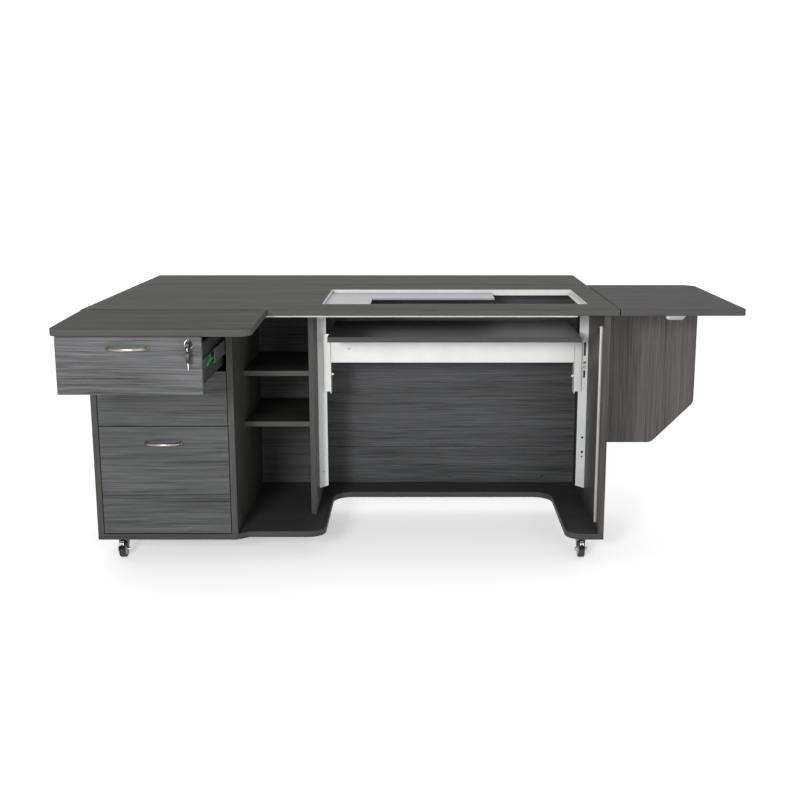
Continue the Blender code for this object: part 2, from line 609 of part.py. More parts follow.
for side, wall, inward in (("left", knee_left, 1), ("right", knee_right, -1)):
    face = wall + inward * SEAT_GAP
    # rail: a channel whose web lies on the panel and whose mouth faces the knee space
    rail_back = rail_front + RAIL_DEPTH
    web = face + inward * RAIL_SHEET
    mouth = face + inward * RAIL_FLANGE
    channel = [(face, rail_front), (mouth, rail_front), (mouth, rail_front + RAIL_SHEET),
               (web, rail_front + RAIL_SHEET), (web, rail_back - RAIL_SHEET),
               (mouth, rail_back - RAIL_SHEET), (mouth, rail_back), (face, rail_back)]
    rail = prism("lift_rail_" + side, channel, RAIL_FOOT, reach)
    slope = RAIL_FOOT_RISE / RAIL_FLANGE
    for vert in rail.data.vertices:
        if vert.co.z < RAIL_FOOT + RAIL_FOOT_RISE:
            vert.co.z += slope * abs(vert.co.x - face)
    finish(hang(rail, table), RAIL_GREY, 0.35, 0.2)

    # bracket: front flange, web towards the knee space, and the slider that runs in the rail
    outer = wall + inward * BRACKET_REACH
    inner = outer + inward * BRACKET_WIDTH
    web_face = inner - inward * BRACKET_SHEET
    flange = block("lift_bracket_" + side,
                   (min(outer, inner), bracket_front, bracket_foot),
                   (max(outer, inner), bracket_front + BRACKET_SHEET, carrier_top))
    bracket_web = block("bracket_web",
                        (min(web_face, inner), bracket_front, bracket_foot - BRACKET_TAB),
                        (max(web_face, inner), bracket_front + BRACKET_DEPTH, carrier_top))
    slider_low = (carrier_top + bracket_foot - SLIDER_HEIGHT) / 2
    slider_end = web + inward * SLIDER_PLAY
    slider = block("slider",
                   (min(slider_end, inner - inward * SEAT_GAP), rail_front + RAIL_SHEET + SLIDER_PLAY / 2,
                    slider_low),
                   (max(slider_end, inner - inward * SEAT_GAP), bracket_front + BRACKET_DEPTH - SEAT_GAP,
                    slider_low + SLIDER_HEIGHT))
    finish(hang(joined([flange, bracket_web, slider]), lift_pivot), WHITE_PAINT, 0.4)

    # gas strut in the back of the rail; its rod follows the lift at half the travel
    strut_x = web + inward * (STRUT_RADIUS + SLIDER_PLAY / 2)
    bore = STRUT_ROD_RADIUS + STRUT_BORE_PLAY
    strut_profile = [(0.0, strut_foot), (STRUT_RADIUS, strut_foot), (STRUT_RADIUS, strut_top),
                     (bore, strut_top), (bore, strut_foot + STRUT_FLOOR), (0.0, strut_foot + STRUT_FLOOR)]
    strut = turned("gas_strut_" + side, strut_profile, (strut_x, strut_y, 0.0), steps=20)
    finish(hang(strut, table), BLACK_PLASTIC, 0.3)
    rod_top = strut_top + STRUT_ROD_OUT
    strut_rod = rod("gas_rod_" + side, STRUT_ROD_RADIUS, (strut_x, strut_y, rod_top - STRUT_ROD_LENGTH),
                    (strut_x, strut_y, rod_top), steps=12)
    finish(hang(strut_rod, rod_pivot), ZINC, 0.15, 1.0)

beam_left = knee_left + BRACKET_REACH + BRACKET_WIDTH + SEAT_GAP
beam_right = knee_right - BRACKET_REACH - BRACKET_WIDTH - SEAT_GAP
beam_foot = carrier_top - BEAM_HEIGHT
beam_section = [(bracket_front, beam_foot), (bracket_front + BEAM_LIP, beam_foot),
                (bracket_front + BEAM_LIP, beam_foot + BEAM_SHEET),
                (bracket_front + BEAM_SHEET, beam_foot + BEAM_SHEET),
                (bracket_front + BEAM_SHEET, carrier_top - BEAM_SHEET),
                (bracket_front + BEAM_LIP, carrier_top - BEAM_SHEET),
                (bracket_front + BEAM_LIP, carrier_top), (bracket_front, carrier_top)]
lift_beam = prism("lift_beam", beam_section, beam_left, beam_right, axis="X")
finish(hang(lift_beam, lift_pivot), WHITE_PAINT, 0.4)

# ---- drawers -------------------------------------------------------------------------------------------
front_left = BOARD + FRONT_SIDE_GAP
front_right = partition_left - FRONT_SIDE_GAP
front_centre = (front_left + front_right) / 2
top_front_top = top_under - TOP_FRONT_CLEARANCE
middle_front_top = top_front_top - TOP_FRONT_HEIGHT - FRONT_GAP
bottom_front_top = middle_front_top - MIDDLE_FRONT_HEIGHT - FRONT_GAP
lock_x = front_right - LOCK_FROM_RIGHT
lock_z = top_front_top - LOCK_FROM_TOP


def bow_handle(name, centre_z):
    """A bow handle: an arched round bar with a foot at each end, on a face at y = 0."""
    span = HANDLE_LENGTH / 2 - HANDLE_FOOT_RADIUS
    path = []
    for i in range(13):
        turn = pi * i / 12
        path.append(Vector((-span * cos(turn), -SEAT_GAP - HANDLE_RISE * sin(turn) ** 0.6, 0.0)))
    mesh = bmesh.new()
    rings = []
    for i, point in enumerate(path):
        ahead = (path[min(i + 1, 12)] - path[max(i - 1, 0)]).normalized()
        if i in (0, 12):
            ahead = Vector((0.0, -1.0 if i == 0 else 1.0, 0.0))
        side = ahead.cross(Vector((0, 0, 1)))
        ring_verts = []
        for k in range(10):
            turn = 2 * pi * k / 10
            offset = side * (HANDLE_RADIUS * cos(turn)) + Vector((0, 0, HANDLE_RADIUS * sin(turn)))
            ring_verts.append(mesh.verts.new(point + offset))
        rings.append(ring_verts)
    for here, there in zip(rings, rings[1:]):
        for k in range(10):
            mesh.faces.new((here[k - 1], here[k], there[k], there[k - 1]))
    mesh.faces.new(rings[0])
    mesh.faces.new(rings[-1])
    bmesh.ops.translate(mesh, vec=(front_centre, 0.0, centre_z), verts=mesh.verts)
    bow = new_piece(name, mesh)
    for foot_x in (front_centre - span, front_centre + span):
        foot = rod("foot", HANDLE_FOOT_RADIUS, (foot_x, -SEAT_GAP, centre_z),
                   (foot_x, -SEAT_GAP - 2 * HANDLE_RADIUS, centre_z), steps=14)
        joined([bow, foot])
    bow.data.shade_smooth()
    bow.data.set_sharp_from_angle(angle=radians(40))
    return bow


def drawer_box(name, low, high):
    """An open box behind a drawer front."""
    left = BOARD + SLIDE_SPACE
    right = partition_left - SLIDE_SPACE
    front = FRONT_THICK + SEAT_GAP
    back = back_face - BOX_BACK_CLEARANCE
    shell = block(name, (left, front, low), (right, back, high))
    hollow = block("hollow", (left + BOX_WALL, front + BOX_WALL, low + BOX_FLOOR),
                   (right - BOX_WALL, back - BOX_WALL, high + BOARD))
    return joined([shell, hollow], "DIFFERENCE")


slide_z = {}
for name, top, foot, opened, from_top in (
        ("top", top_front_top, top_front_top - TOP_FRONT_HEIGHT, TOP_DRAWER_OPEN, HANDLE_FROM_TOP[0]),
        ("middle", middle_front_top, middle_front_top - MIDDLE_FRONT_HEIGHT, 0.0, HANDLE_FROM_TOP[1]),
        ("bottom", bottom_front_top, base_top + FRONT_GAP, 0.0, HANDLE_FROM_TOP[2])):
    drawer = pivot(name + "_drawer_slide", (front_centre, 0.0, foot), table)
    drawer.location.y -= opened
    outline = rectangle((front_left, foot), (front_right, top))
    holes = []
    if name == "top":
        holes = [arc((lock_x, lock_z), LOCK_BARREL_RADIUS + LOCK_HOLE_PLAY, 0, 345, 23)]
    drawer_front = prism(name + "_drawer_front", outline, 0.0, FRONT_THICK, axis="Y", holes=holes)
    softened(drawer_front, EDGE_ROUND / 2, 1)
    finish(hang(drawer_front, drawer), GREY_WOOD, 0.4)
    box_low = foot + BOX_ABOVE_FRONT_FOOT
    box = drawer_box(name + "_drawer_box", box_low, top - BOX_BELOW_FRONT_TOP)
    finish(hang(box, drawer), DARK_WOOD, 0.5)
    finish(hang(bow_handle(name + "_drawer_handle", top - from_top), drawer), BRUSHED_NICKEL, 0.3, 1.0)
    slide_z[name] = (box_low + top - BOX_BELOW_FRONT_TOP) / 2
    if name == "top":
        top_drawer = drawer

# ball-bearing slides of the top drawer: three channels on each side, one inside the other
slide_front = FRONT_THICK + SEAT_GAP
slide_back = back_face - BOX_BACK_CLEARANCE
middle_pivot = pivot("top_slide_middle", (front_centre, 0.0, slide_z["top"]), table)
middle_pivot.location.y -= TOP_DRAWER_OPEN / 2
outer_mouth = SLIDE_SPACE - SLIDE_CLEARANCE
middle_web = SEAT_GAP + SLIDE_WEB_STEP
half_outer = SLIDE_HEIGHT / 2
MEMBERS = (("outer", SEAT_GAP, outer_mouth, half_outer, table),
           ("middle", middle_web, outer_mouth - SLIDE_LIP_STEP, half_outer - SLIDE_NEST, middle_pivot),
           ("inner", SLIDE_SPACE - SEAT_GAP, middle_web + SLIDE_CLEARANCE,
            half_outer - 2 * SLIDE_NEST, top_drawer))
for side, wall, inward in (("left", BOARD, 1), ("right", partition_left, -1)):
    for member, web_at, mouth_at, half, holder in MEMBERS:
        sheet = SLIDE_SHEET if mouth_at > web_at else -SLIDE_SHEET
        section = []
        for depth, height in ((web_at, -half), (mouth_at, -half), (mouth_at, -half + SLIDE_SHEET),
                              (web_at + sheet, -half + SLIDE_SHEET), (web_at + sheet, half - SLIDE_SHEET),
                              (mouth_at, half - SLIDE_SHEET), (mouth_at, half), (web_at, half)):
            section.append((wall + inward * depth, slide_z["top"] + height))
        slide = prism("top_slide_" + member + "_" + side, section, slide_front, slide_back, axis="Y")
        finish(hang(slide, holder), ZINC, 0.3, 1.0)

# cam lock and its keys
face = -SEAT_GAP
lock_profile = [(0.0, face - LOCK_FACE), (LOCK_RADIUS - LOCK_EDGE, face - LOCK_FACE),
                (LOCK_RADIUS, face - LOCK_FACE + LOCK_EDGE), (LOCK_RADIUS, face),
                (LOCK_BARREL_RADIUS, face), (LOCK_BARREL_RADIUS, FRONT_THICK - SEAT_GAP),
                (0.0, FRONT_THICK - SEAT_GAP)]
drawer_lock = turned("drawer_lock", lock_profile, (lock_x, 0.0, lock_z), axis="Y")
finish(hang(drawer_lock, top_drawer), ZINC, 0.2, 1.0)

key_start = face - LOCK_FACE - SEAT_GAP
key_pivot = pivot("key_turn", (lock_x, key_start, lock_z), top_drawer)
bow_y = key_start - KEY_REACH + KEY_BOW
eye = arc((bow_y, lock_z), KEY_EYE, 0, 330, 11)
key_bow = prism("key", arc((bow_y, lock_z), KEY_BOW, 0, 345, 23), lock_x - KEY_THICK / 2,
                lock_x + KEY_THICK / 2, axis="X", holes=[eye])
key_shank = rod("key_shank", KEY_SHANK_RADIUS, (lock_x, key_start, lock_z),
                (lock_x, bow_y + KEY_BOW - KEY_WELD, lock_z), steps=10)
finish(hang(joined([key_bow, key_shank]), key_pivot), BLACK_PLASTIC, 0.4)

spare_top = lock_z - KEY_BOW - SPARE_KEY_BELOW
spare_pivot = pivot("spare_key_swing", (lock_x, bow_y, lock_z), key_pivot)
spare_centre = (bow_y, spare_top - KEY_BOW)
spare_eye = arc((bow_y, spare_top - SPARE_EYE_FROM_EDGE), SPARE_EYE, 0, 330, 11)
spare_bow = prism("spare_key", arc(spare_centre, KEY_BOW, 0, 345, 23), lock_x - KEY_THICK / 2,
                  lock_x + KEY_THICK / 2, axis="X", holes=[spare_eye])
blade_thick, blade_wide = SPARE_BLADE
spare_blade = block("spare_blade",
                    (lock_x - blade_thick / 2, bow_y - blade_wide / 2, spare_top - SPARE_KEY_LENGTH),
                    (lock_x + blade_thick / 2, bow_y + blade_wide / 2, spare_top - 2 * KEY_BOW + KEY_WELD))
finish(hang(joined([spare_bow, spare_blade]), spare_pivot), ZINC, 0.3, 1.0)

# ---- casters ------------------------------------------------------------------------------------------------
half_wheel = WHEEL_WIDTH / 2
cheek_in = half_wheel + WHEEL_PLAY
cheek_out = cheek_in + FORK_SHEET


def caster(number, centre_x, centre_y, turn):
    """A swivel caster: a fork that turns under the base and a wheel on the fork's axle."""
    swivel = pivot("caster_swivel_" + number, (centre_x, centre_y, caster_height), table,
                   (0.0, 0.0, radians(turn)))
    axle_y = centre_y + FORK_TRAIL
    head = turned("caster_fork_" + number,
                  [(0.0, crown_low), (SWIVEL_RADIUS - SWIVEL_EDGE, crown_low),
                   (SWIVEL_RADIUS, crown_low + SWIVEL_EDGE), (SWIVEL_RADIUS, caster_height - SEAT_GAP),
                   (0.0, caster_height - SEAT_GAP)], (centre_x, centre_y, 0.0), steps=20)
    crown = block("crown", (centre_x - cheek_out, centre_y - SWIVEL_RADIUS / 2, crown_low),
                  (centre_x + cheek_out, axle_y + FORK_SHEET, crown_low + FORK_SHEET))
    parts = [head, crown]
    cheek = [(centre_y - SWIVEL_RADIUS / 2, crown_low + FORK_SHEET / 2)]
    cheek += arc((axle_y, WHEEL_RADIUS), CHEEK_FOOT_RADIUS, 200, 350, 6)
    cheek += [(axle_y + FORK_SHEET, crown_low + FORK_SHEET / 2)]
    for inner in (-cheek_out, cheek_in):
        parts.append(prism("cheek", cheek, centre_x + inner, centre_x + inner + FORK_SHEET, axis="X"))
    axle_end = cheek_out + AXLE_PROUD
    parts.append(rod("axle", AXLE_RADIUS, (centre_x - axle_end, axle_y, WHEEL_RADIUS),
                     (centre_x + axle_end, axle_y, WHEEL_RADIUS), steps=12))
    fork = joined(parts)
    fork.data.shade_smooth()
    fork.data.set_sharp_from_angle(angle=radians(35))
    finish(hang(fork, swivel), BLACK_PLASTIC, 0.35)
    spin = pivot("caster_wheel_spin_" + number, (centre_x, axle_y, WHEEL_RADIUS), swivel)
    bore = AXLE_RADIUS + AXLE_PLAY
    small, large = TREAD_ROUND
    edge = [(WHEEL_RADIUS - large, half_wheel), (WHEEL_RADIUS - small, half_wheel - large / 2),
            (WHEEL_RADIUS, half_wheel - large)]
    profile = [(bore, -half_wheel), *[(radius, -along) for radius, along in edge],
               *reversed(edge), (bore, half_wheel)]
    wheel = turned("caster_wheel_" + number, profile, (centre_x, axle_y, WHEEL_RADIUS), axis="X",
                   steps=32, closed=True)
    finish(hang(wheel, spin), BLACK_PLASTIC, 0.5)


caster_places = ((CASTER_INSET, CASTER_SETBACK), (cabinet_width - CASTER_INSET, CASTER_SETBACK),
                 (CASTER_INSET, CABINET_DEPTH - CASTER_INSET),
                 (cabinet_width - CASTER_INSET, CABINET_DEPTH - CASTER_INSET))
for index, (place, turn) in enumerate(zip(caster_places, CASTER_TURNS)):
    caster(str(index + 1), *place, turn)
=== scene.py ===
"""Sewing table: the looks of every piece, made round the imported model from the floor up."""
import json
import math

import bmesh
import bpy
from mathutils import Matrix, Vector


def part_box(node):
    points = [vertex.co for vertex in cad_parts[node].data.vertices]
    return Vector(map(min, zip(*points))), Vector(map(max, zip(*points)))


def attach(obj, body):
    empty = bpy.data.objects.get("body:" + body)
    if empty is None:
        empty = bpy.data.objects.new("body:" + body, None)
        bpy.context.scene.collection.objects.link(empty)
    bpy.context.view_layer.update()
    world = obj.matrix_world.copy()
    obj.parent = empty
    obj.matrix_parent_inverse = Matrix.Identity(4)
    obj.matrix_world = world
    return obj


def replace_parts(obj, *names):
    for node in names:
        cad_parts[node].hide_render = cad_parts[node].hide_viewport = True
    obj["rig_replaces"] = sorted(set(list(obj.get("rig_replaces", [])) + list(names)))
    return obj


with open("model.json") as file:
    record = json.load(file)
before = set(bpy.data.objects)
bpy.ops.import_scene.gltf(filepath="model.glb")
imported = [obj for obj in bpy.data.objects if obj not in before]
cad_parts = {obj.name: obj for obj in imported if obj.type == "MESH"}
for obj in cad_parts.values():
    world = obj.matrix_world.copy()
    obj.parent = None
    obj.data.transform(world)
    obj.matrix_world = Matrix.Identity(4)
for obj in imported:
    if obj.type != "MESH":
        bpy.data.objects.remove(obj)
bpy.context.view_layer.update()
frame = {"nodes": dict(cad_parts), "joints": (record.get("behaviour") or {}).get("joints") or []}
nodes = frame["nodes"]


# ---- casters -------------------------------------------------------------------------------------
# Four locking swivel casters with 50 mm wheels stand under the base board's corners. Each has a
# pressed steel plate held by four screws, a swivel head on its raceway, a black pressed fork, a
# nylon hub with a rubber tread on a bolt, and a brake pedal with a steel spring under it.
def alone(*pieces):
    """Leave edit mode with only these pieces selected, the first of them active."""
    if bpy.context.mode != "OBJECT":
        bpy.ops.object.mode_set(mode="OBJECT")
    bpy.ops.object.select_all(action="DESELECT")
    for piece in pieces:
        piece.select_set(True)
    if pieces:
        bpy.context.view_layer.objects.active = pieces[0]


def fresh(kind, **where):
    """Add a primitive with nothing else selected, and put its place in its mesh."""
    alone()
    getattr(bpy.ops.mesh, "primitive_" + kind + "_add")(**where)
    bpy.ops.object.transform_apply(location=True, rotation=True, scale=True)
    return bpy.context.object


def slab(low, high):
    """A cube primitive between two corners."""
    low, high = Vector(low), Vector(high)
    return fresh("cube", size=1, location=(low + high) / 2, scale=high - low)


LIE = {"X": (0, math.pi / 2, 0), "Y": (-math.pi / 2, 0, 0), "Z": (0, 0, 0)}


def round_bar(centre, radius, length, axis="Z", sides=24):
    """A cylinder primitive along an axis."""
    return fresh("cylinder", vertices=sides, radius=radius, depth=length, location=centre,
                 rotation=LIE[axis])


def edit(piece, kind="FACE"):
    """Open one piece for editing with nothing selected in it."""
    alone(piece)
    bpy.ops.object.mode_set(mode="EDIT")
    bpy.ops.mesh.select_mode(type=kind)
    bpy.ops.mesh.select_all(action="DESELECT")
    return bmesh.from_edit_mesh(piece.data)


def edit_all(piece):
    """Open one piece for editing with all of it selected."""
    edit(piece)
    bpy.ops.mesh.select_all(action="SELECT")


def split(piece, place, way):
    """Cut a piece's faces along a plane, and keep both sides."""
    edit_all(piece)
    bpy.ops.mesh.bisect(plane_co=place, plane_no=way)
    close_up()


def pick(piece, test):
    """Select the faces whose middle and normal pass a test."""
    mesh = edit(piece)
    for face in mesh.faces:
        face.select_set(test(face.calc_center_median(), face.normal))
    bmesh.update_edit_mesh(piece.data)


def pick_edges(piece, test):
    """Select the edges whose two ends pass a test."""
    mesh = edit(piece, "EDGE")
    for line in mesh.edges:
        line.select_set(test(line.verts[0].co, line.verts[1].co))
    bmesh.update_edit_mesh(piece.data)


def pull(step):
    """Extrude what is selected by a step."""
    bpy.ops.mesh.extrude_region_move(TRANSFORM_OT_translate={"value": step})


def squeeze(factors, about):
    """Scale what is selected about a point."""
    bpy.ops.transform.resize(value=factors, center_override=about)


def close_up():
    """Leave edit mode."""
    bpy.ops.object.mode_set(mode="OBJECT")


def with_modifier(piece, kind, **settings):
    """Add a modifier, set it, and apply it."""
    alone(piece)
    change = piece.modifiers.new(kind.lower(), kind)
    for setting, value in settings.items():
        setattr(change, setting, value)
    bpy.ops.object.modifier_apply(modifier=change.name)
    return piece


def eased(piece, width, segments=2, degrees=30):
    """Break a piece's sharp edges."""
    return with_modifier(piece, "BEVEL", width=width, segments=segments, limit_method="ANGLE",
                         angle_limit=math.radians(degrees))


def cut(piece, tool):
    """Take one shape out of another."""
    with_modifier(piece, "BOOLEAN", operation="DIFFERENCE", solver="EXACT", object=tool)
    bpy.data.objects.remove(tool)
    return piece


def together(pieces):
    """Join pieces of one material that are fixed to each other."""
    alone(*pieces)
    bpy.ops.object.join()
    return pieces[0]


def finished(piece, name, body, paint, smooth=30):
    """Name, shade and paint a piece, and let it ride on its body."""
    edit_all(piece)
    bpy.ops.mesh.remove_doubles(threshold=1e-6)
    bpy.ops.mesh.normals_make_consistent(inside=False)
    close_up()
    bpy.ops.object.shade_smooth_by_angle(angle=math.radians(smooth))
    piece.name = name
    piece.data.name = name
    piece.data.materials.clear()
    piece.data.materials.append(paint)
    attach(piece, body)
    return piece


def copied(piece, name, place, body):
    """A copy of a finished piece with its own mesh, moved by a matrix."""
    twin = piece.copy()
    twin.data = piece.data.copy()
    twin.parent = None
    twin.matrix_world = Matrix.Identity(4)
    bpy.context.scene.collection.objects.link(twin)
    twin.data.transform(place)
    if place.determinant() < 0:
        twin.data.flip_normals()
    twin.name = name
    twin.data.name = name
    if "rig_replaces" in twin:
        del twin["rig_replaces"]
    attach(twin, body)
    return twin


class Wire:
    """A node socket that adds a Math or Vector Math node for each operator used on it."""

    def __init__(self, paint, socket):
        self.paint = paint
        self.socket = socket

    def join(self, operation, one, two):
        vector = any(isinstance(x, tuple) or isinstance(x, Wire) and x.socket.type == "VECTOR"
                     for x in (one, two))
        kind = "ShaderNodeVectorMath" if vector else "ShaderNodeMath"
        return self.paint.add(kind, {"operation": operation}, {0: one, 1: two})

    def __add__(self, other):
        return self.join("ADD", self, other)

    def __sub__(self, other):
        return self.join("SUBTRACT", self, other)

    def __mul__(self, other):
        return self.join("MULTIPLY", self, other)

    def __gt__(self, other):
        return self.join("GREATER_THAN", self, other)

    def __lt__(self, other):
        return self.join("LESS_THAN", self, other)

    __radd__ = __add__
    __rmul__ = __mul__


class Paint:
    """A material whose nodes are all added by one method."""

    def __init__(self, name):
        self.material = bpy.data.materials.new(name)
        self.material.use_nodes = True
        self.tree = self.material.node_tree
        self.shader = self.tree.nodes["Principled BSDF"]

    def plug(self, socket, value):
        if isinstance(value, Wire):
            self.tree.links.new(value.socket, socket)
        elif isinstance(value, tuple) and socket.type == "RGBA":
            socket.default_value = (*value[:3], 1.0)
        else:
            socket.default_value = value

    def add(self, kind, settings=None, sockets=None, output=0):
        node = self.tree.nodes.new(kind)
        for setting, value in (settings or {}).items():
            if setting == "stops":
                ramp = node.color_ramp
                while len(ramp.elements) < len(value):
                    ramp.elements.new(0.5)
                for element, (position, colour) in zip(ramp.elements, value):
                    element.position = position
                    element.color = (*colour, 1.0)
            else:
                setattr(node, setting, value)
        for socket, value in (sockets or {}).items():
            self.plug(node.inputs[socket], value)
        return Wire(self, node.outputs[output])

    def surface(self, **sockets):
        for socket, value in sockets.items():
            self.plug(self.shader.inputs[socket.replace("_", " ")], value)
        return self.material

    def place(self, scale=(1.0, 1.0, 1.0)):
        return self.add("ShaderNodeTexCoord", output="Object") * scale

    def noise(self, vector, scale=1.0, detail=2.0, roughness=0.5):
        return self.add("ShaderNodeTexNoise", None,
                        {"Vector": vector, "Scale": scale, "Detail": detail,
                         "Roughness": roughness})

    def ramp(self, value, *stops):
        return self.add("ShaderNodeValToRGB", {"stops": stops}, {"Fac": value})

    def bump(self, height, strength, distance):
        return self.add("ShaderNodeBump", None,
                        {"Height": height, "Strength": strength, "Distance": distance})


def plain_finish(name, dark, light, roughness, spread=0.1, metallic=0.0, relief=0.05):
    """A moulded, cast or coated surface: a slight change of tone, and a fine skin."""
    paint = Paint(name)
    cloud = paint.noise(paint.place(), 14.0, 4.0)
    skin = paint.noise(paint.place(), 400.0, 3.0)
    return paint.surface(Base_Color=paint.ramp(cloud, (0.3, dark), (0.7, light)),
                         Roughness=cloud * spread + (roughness - spread / 2), Metallic=metallic,
                         Normal=paint.bump(skin, relief, 0.0002))


black_nylon = plain_finish("black_nylon", (0.010, 0.010, 0.011), (0.020, 0.020, 0.022), 0.38,
                           relief=0.12)
tread_rubber = plain_finish("tread_rubber", (0.012, 0.012, 0.013), (0.026, 0.026, 0.027), 0.62,
                            relief=0.2)
black_steel = plain_finish("black_steel", (0.008, 0.008, 0.009), (0.016, 0.016, 0.018), 0.30)
bright_steel = plain_finish("bright_steel", (0.50, 0.51, 0.52), (0.66, 0.67, 0.68), 0.28, 0.12, 1.0)

# The first caster is made round its own swivel axis, with its wheel trailing behind it.
WHEEL = 0.025
TRAIL = 0.017
AXLE = (0, TRAIL, WHEEL)
PRESSED_SHEET = 0.0026
PLATE_HALF = 0.023
SCREW_SPACING = 0.0172
caster_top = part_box("base_board")[0].z - 0.0003
plate_under = caster_top - PRESSED_SHEET
plate = slab((-PLATE_HALF, -PLATE_HALF, plate_under), (PLATE_HALF, PLATE_HALF, caster_top))
pick_edges(plate, lambda a, b: abs(a.z - b.z) > 0.001)
bpy.ops.mesh.bevel(offset=0.006, segments=5, affect="EDGES")
close_up()
eased(plate, 0.0005, 2)
plate_parts = [plate]
for sx in (-1, 1):
    for sy in (-1, 1):
        head = round_bar((sx * SCREW_SPACING, sy * SCREW_SPACING, caster_top - 0.0034),
                         0.0033, 0.0018, sides=14)
        pick(head, lambda c, n: n.z < -0.9)
        bpy.ops.mesh.inset(thickness=0.0012)
        bpy.ops.transform.translate(value=(0, 0, -0.0007))
        close_up()
        plate_parts.append(head)
plate = finished(together(plate_parts), "caster_plate_1", "cabinet", black_steel)

FORK_HALF = 0.0125
FORK_DEPTH = 0.034
CROWN = 0.0600
RACEWAY = 0.0200
head = round_bar((0, 0, (CROWN + plate_under) / 2), RACEWAY, plate_under - CROWN, sides=36)
pick(head, lambda c, n: n.z < -0.9)
bpy.ops.mesh.inset(thickness=0.003)
pull((0, 0, -0.0012))
close_up()
eased(head, 0.0012, 3)
fork_middle = (0, TRAIL * 0.35, CROWN - 0.0015)
fork = fresh("plane", size=1, location=fork_middle)
edit_all(fork)
squeeze((2 * FORK_HALF, FORK_DEPTH, 1), fork_middle)
pick_edges(fork, lambda a, b: abs(a.x) > 0.01 and abs(a.x - b.x) < 1e-5)
for step, narrow in ((-0.014, 0.92), (-0.014, 0.66), (-0.0090, 0.55), (-0.0040, 0.55)):
    pull((0, 0, step))
    squeeze((1, narrow, 1), AXLE)
close_up()
with_modifier(fork, "SOLIDIFY", thickness=PRESSED_SHEET, offset=-1)
eased(fork, 0.0009, 2, 40)
fork = finished(together([fork, head]), "caster_fork_piece_1", "caster_1",
                black_steel, 35)

bolt = round_bar(AXLE, 0.0036, 2 * FORK_HALF + 0.010, "X", 20)
bolt_parts = [bolt]
for side in (-1, 1):
    nut = round_bar((side * (FORK_HALF + 0.0042), TRAIL, WHEEL), 0.0064, 0.0032, "X", 6)
    eased(nut, 0.0006, 2)
    bolt_parts.append(nut)
bolt = finished(together(bolt_parts), "caster_bolt_1", "caster_1", bright_steel)


def off_axle(point):
    """How far a point is from the wheel's axis."""
    return (point - Vector((point.x, TRAIL, WHEEL))).length


tyre = round_bar(AXLE, WHEEL, 0.021, "X", 56)
pick(tyre, lambda c, n: abs(n.x) > 0.9)
bpy.ops.mesh.inset(thickness=0.0075)
close_up()
pick(tyre, lambda c, n: abs(n.x) > 0.9 and off_axle(c) < 0.004)
squeeze((0.72, 1, 1), AXLE)
close_up()
pick_edges(tyre, lambda a, b: min(off_axle(a), off_axle(b)) > WHEEL - 0.0005
           and abs(a.x - b.x) < 1e-5)
bpy.ops.mesh.bevel(offset=0.0035, segments=4, affect="EDGES")
tyre = finished(tyre, "caster_tyre_1", "wheel_1", tread_rubber, 40)

hub = round_bar(AXLE, 0.0173, 0.0196, "X", 48)
pick(hub, lambda c, n: abs(n.x) > 0.9)
bpy.ops.mesh.inset(thickness=0.0022)
bpy.ops.mesh.inset(thickness=0.0008)
squeeze((0.86, 1, 1), AXLE)
bpy.ops.mesh.inset(thickness=0.0068)
bpy.ops.mesh.inset(thickness=0.0006)
squeeze((1.28, 1, 1), AXLE)
close_up()
eased(hub, 0.0003, 1)
grey_nylon = plain_finish("grey_nylon", (0.34, 0.34, 0.34), (0.42, 0.42, 0.42), 0.40,
                          relief=0.10)
hub = finished(hub, "caster_hub_1", "wheel_1", grey_nylon)

pedal = slab((-0.0080, 0.0340, 0.0395), (0.0080, 0.0400, 0.0425))
pick(pedal, lambda c, n: n.y > 0.9)
for step in ((0, 0.0055, -0.0018), (0, 0.0055, -0.0034), (0, 0.0040, -0.0042)):
    pull(step)
close_up()
pick(pedal, lambda c, n: n.y < -0.9)
pull((0, -0.0120, 0.0085))
pull((0, -0.0080, 0.0055))
close_up()
eased(pedal, 0.0010, 3)
pedal = finished(pedal, "caster_brake_1", "caster_1", black_nylon, 40)
spring = slab((-0.0060, 0.0345, 0.0530), (0.0060, 0.0355, 0.0542))
pick(spring, lambda c, n: n.z < -0.9)
pull((0, 0.0050, -0.0040))
pull((0, 0.0012, -0.0130))
close_up()
eased(spring, 0.0003, 1)
cut(spring, round_bar((0, 0.0410, 0.0435), 0.0026, 0.012, "Y", 20))
spring = finished(spring, "caster_spring_1", "caster_1", bright_steel)


def joint_place(name):
    """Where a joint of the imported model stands."""
    return [joint for joint in frame["joints"] if joint["name"] == name][0]["pos_m"]


CASTER_TURNS = (180, 180, 25, 160)
swivels = [joint_place("caster_swivel_%d" % number) for number in range(1, 5)]
for kind, piece in (("plate", plate), ("fork_piece", fork), ("bolt", bolt), ("tyre", tyre),
                    ("hub", hub), ("brake", pedal), ("spring", spring)):
    home = piece.data.copy()
    for number, (spot, turn) in enumerate(zip(swivels, CASTER_TURNS), 1):
        body = {"plate": "cabinet", "tyre": "wheel_%d", "hub": "wheel_%d"}.get(kind, "caster_%d")
        body = body % number if "%" in body else body
        swivelled = Matrix.Rotation(math.radians(0 if kind == "plate" else turn), 4, "Z")
        place = Matrix.Translation((spot[0], spot[1], 0)) @ swivelled
        if number == 1:
            one = piece
            one.data.transform(place)
        else:
            one = copied(piece, "caster_%s_%d" % (kind, number), Matrix.Identity(4), body)
            one.data = home.copy()
            one.data.transform(place)
        if kind == "fork_piece":
            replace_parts(one, "caster_fork_%d" % number)
        if kind == "tyre":
            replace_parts(one, "caster_wheel_%d" % number)


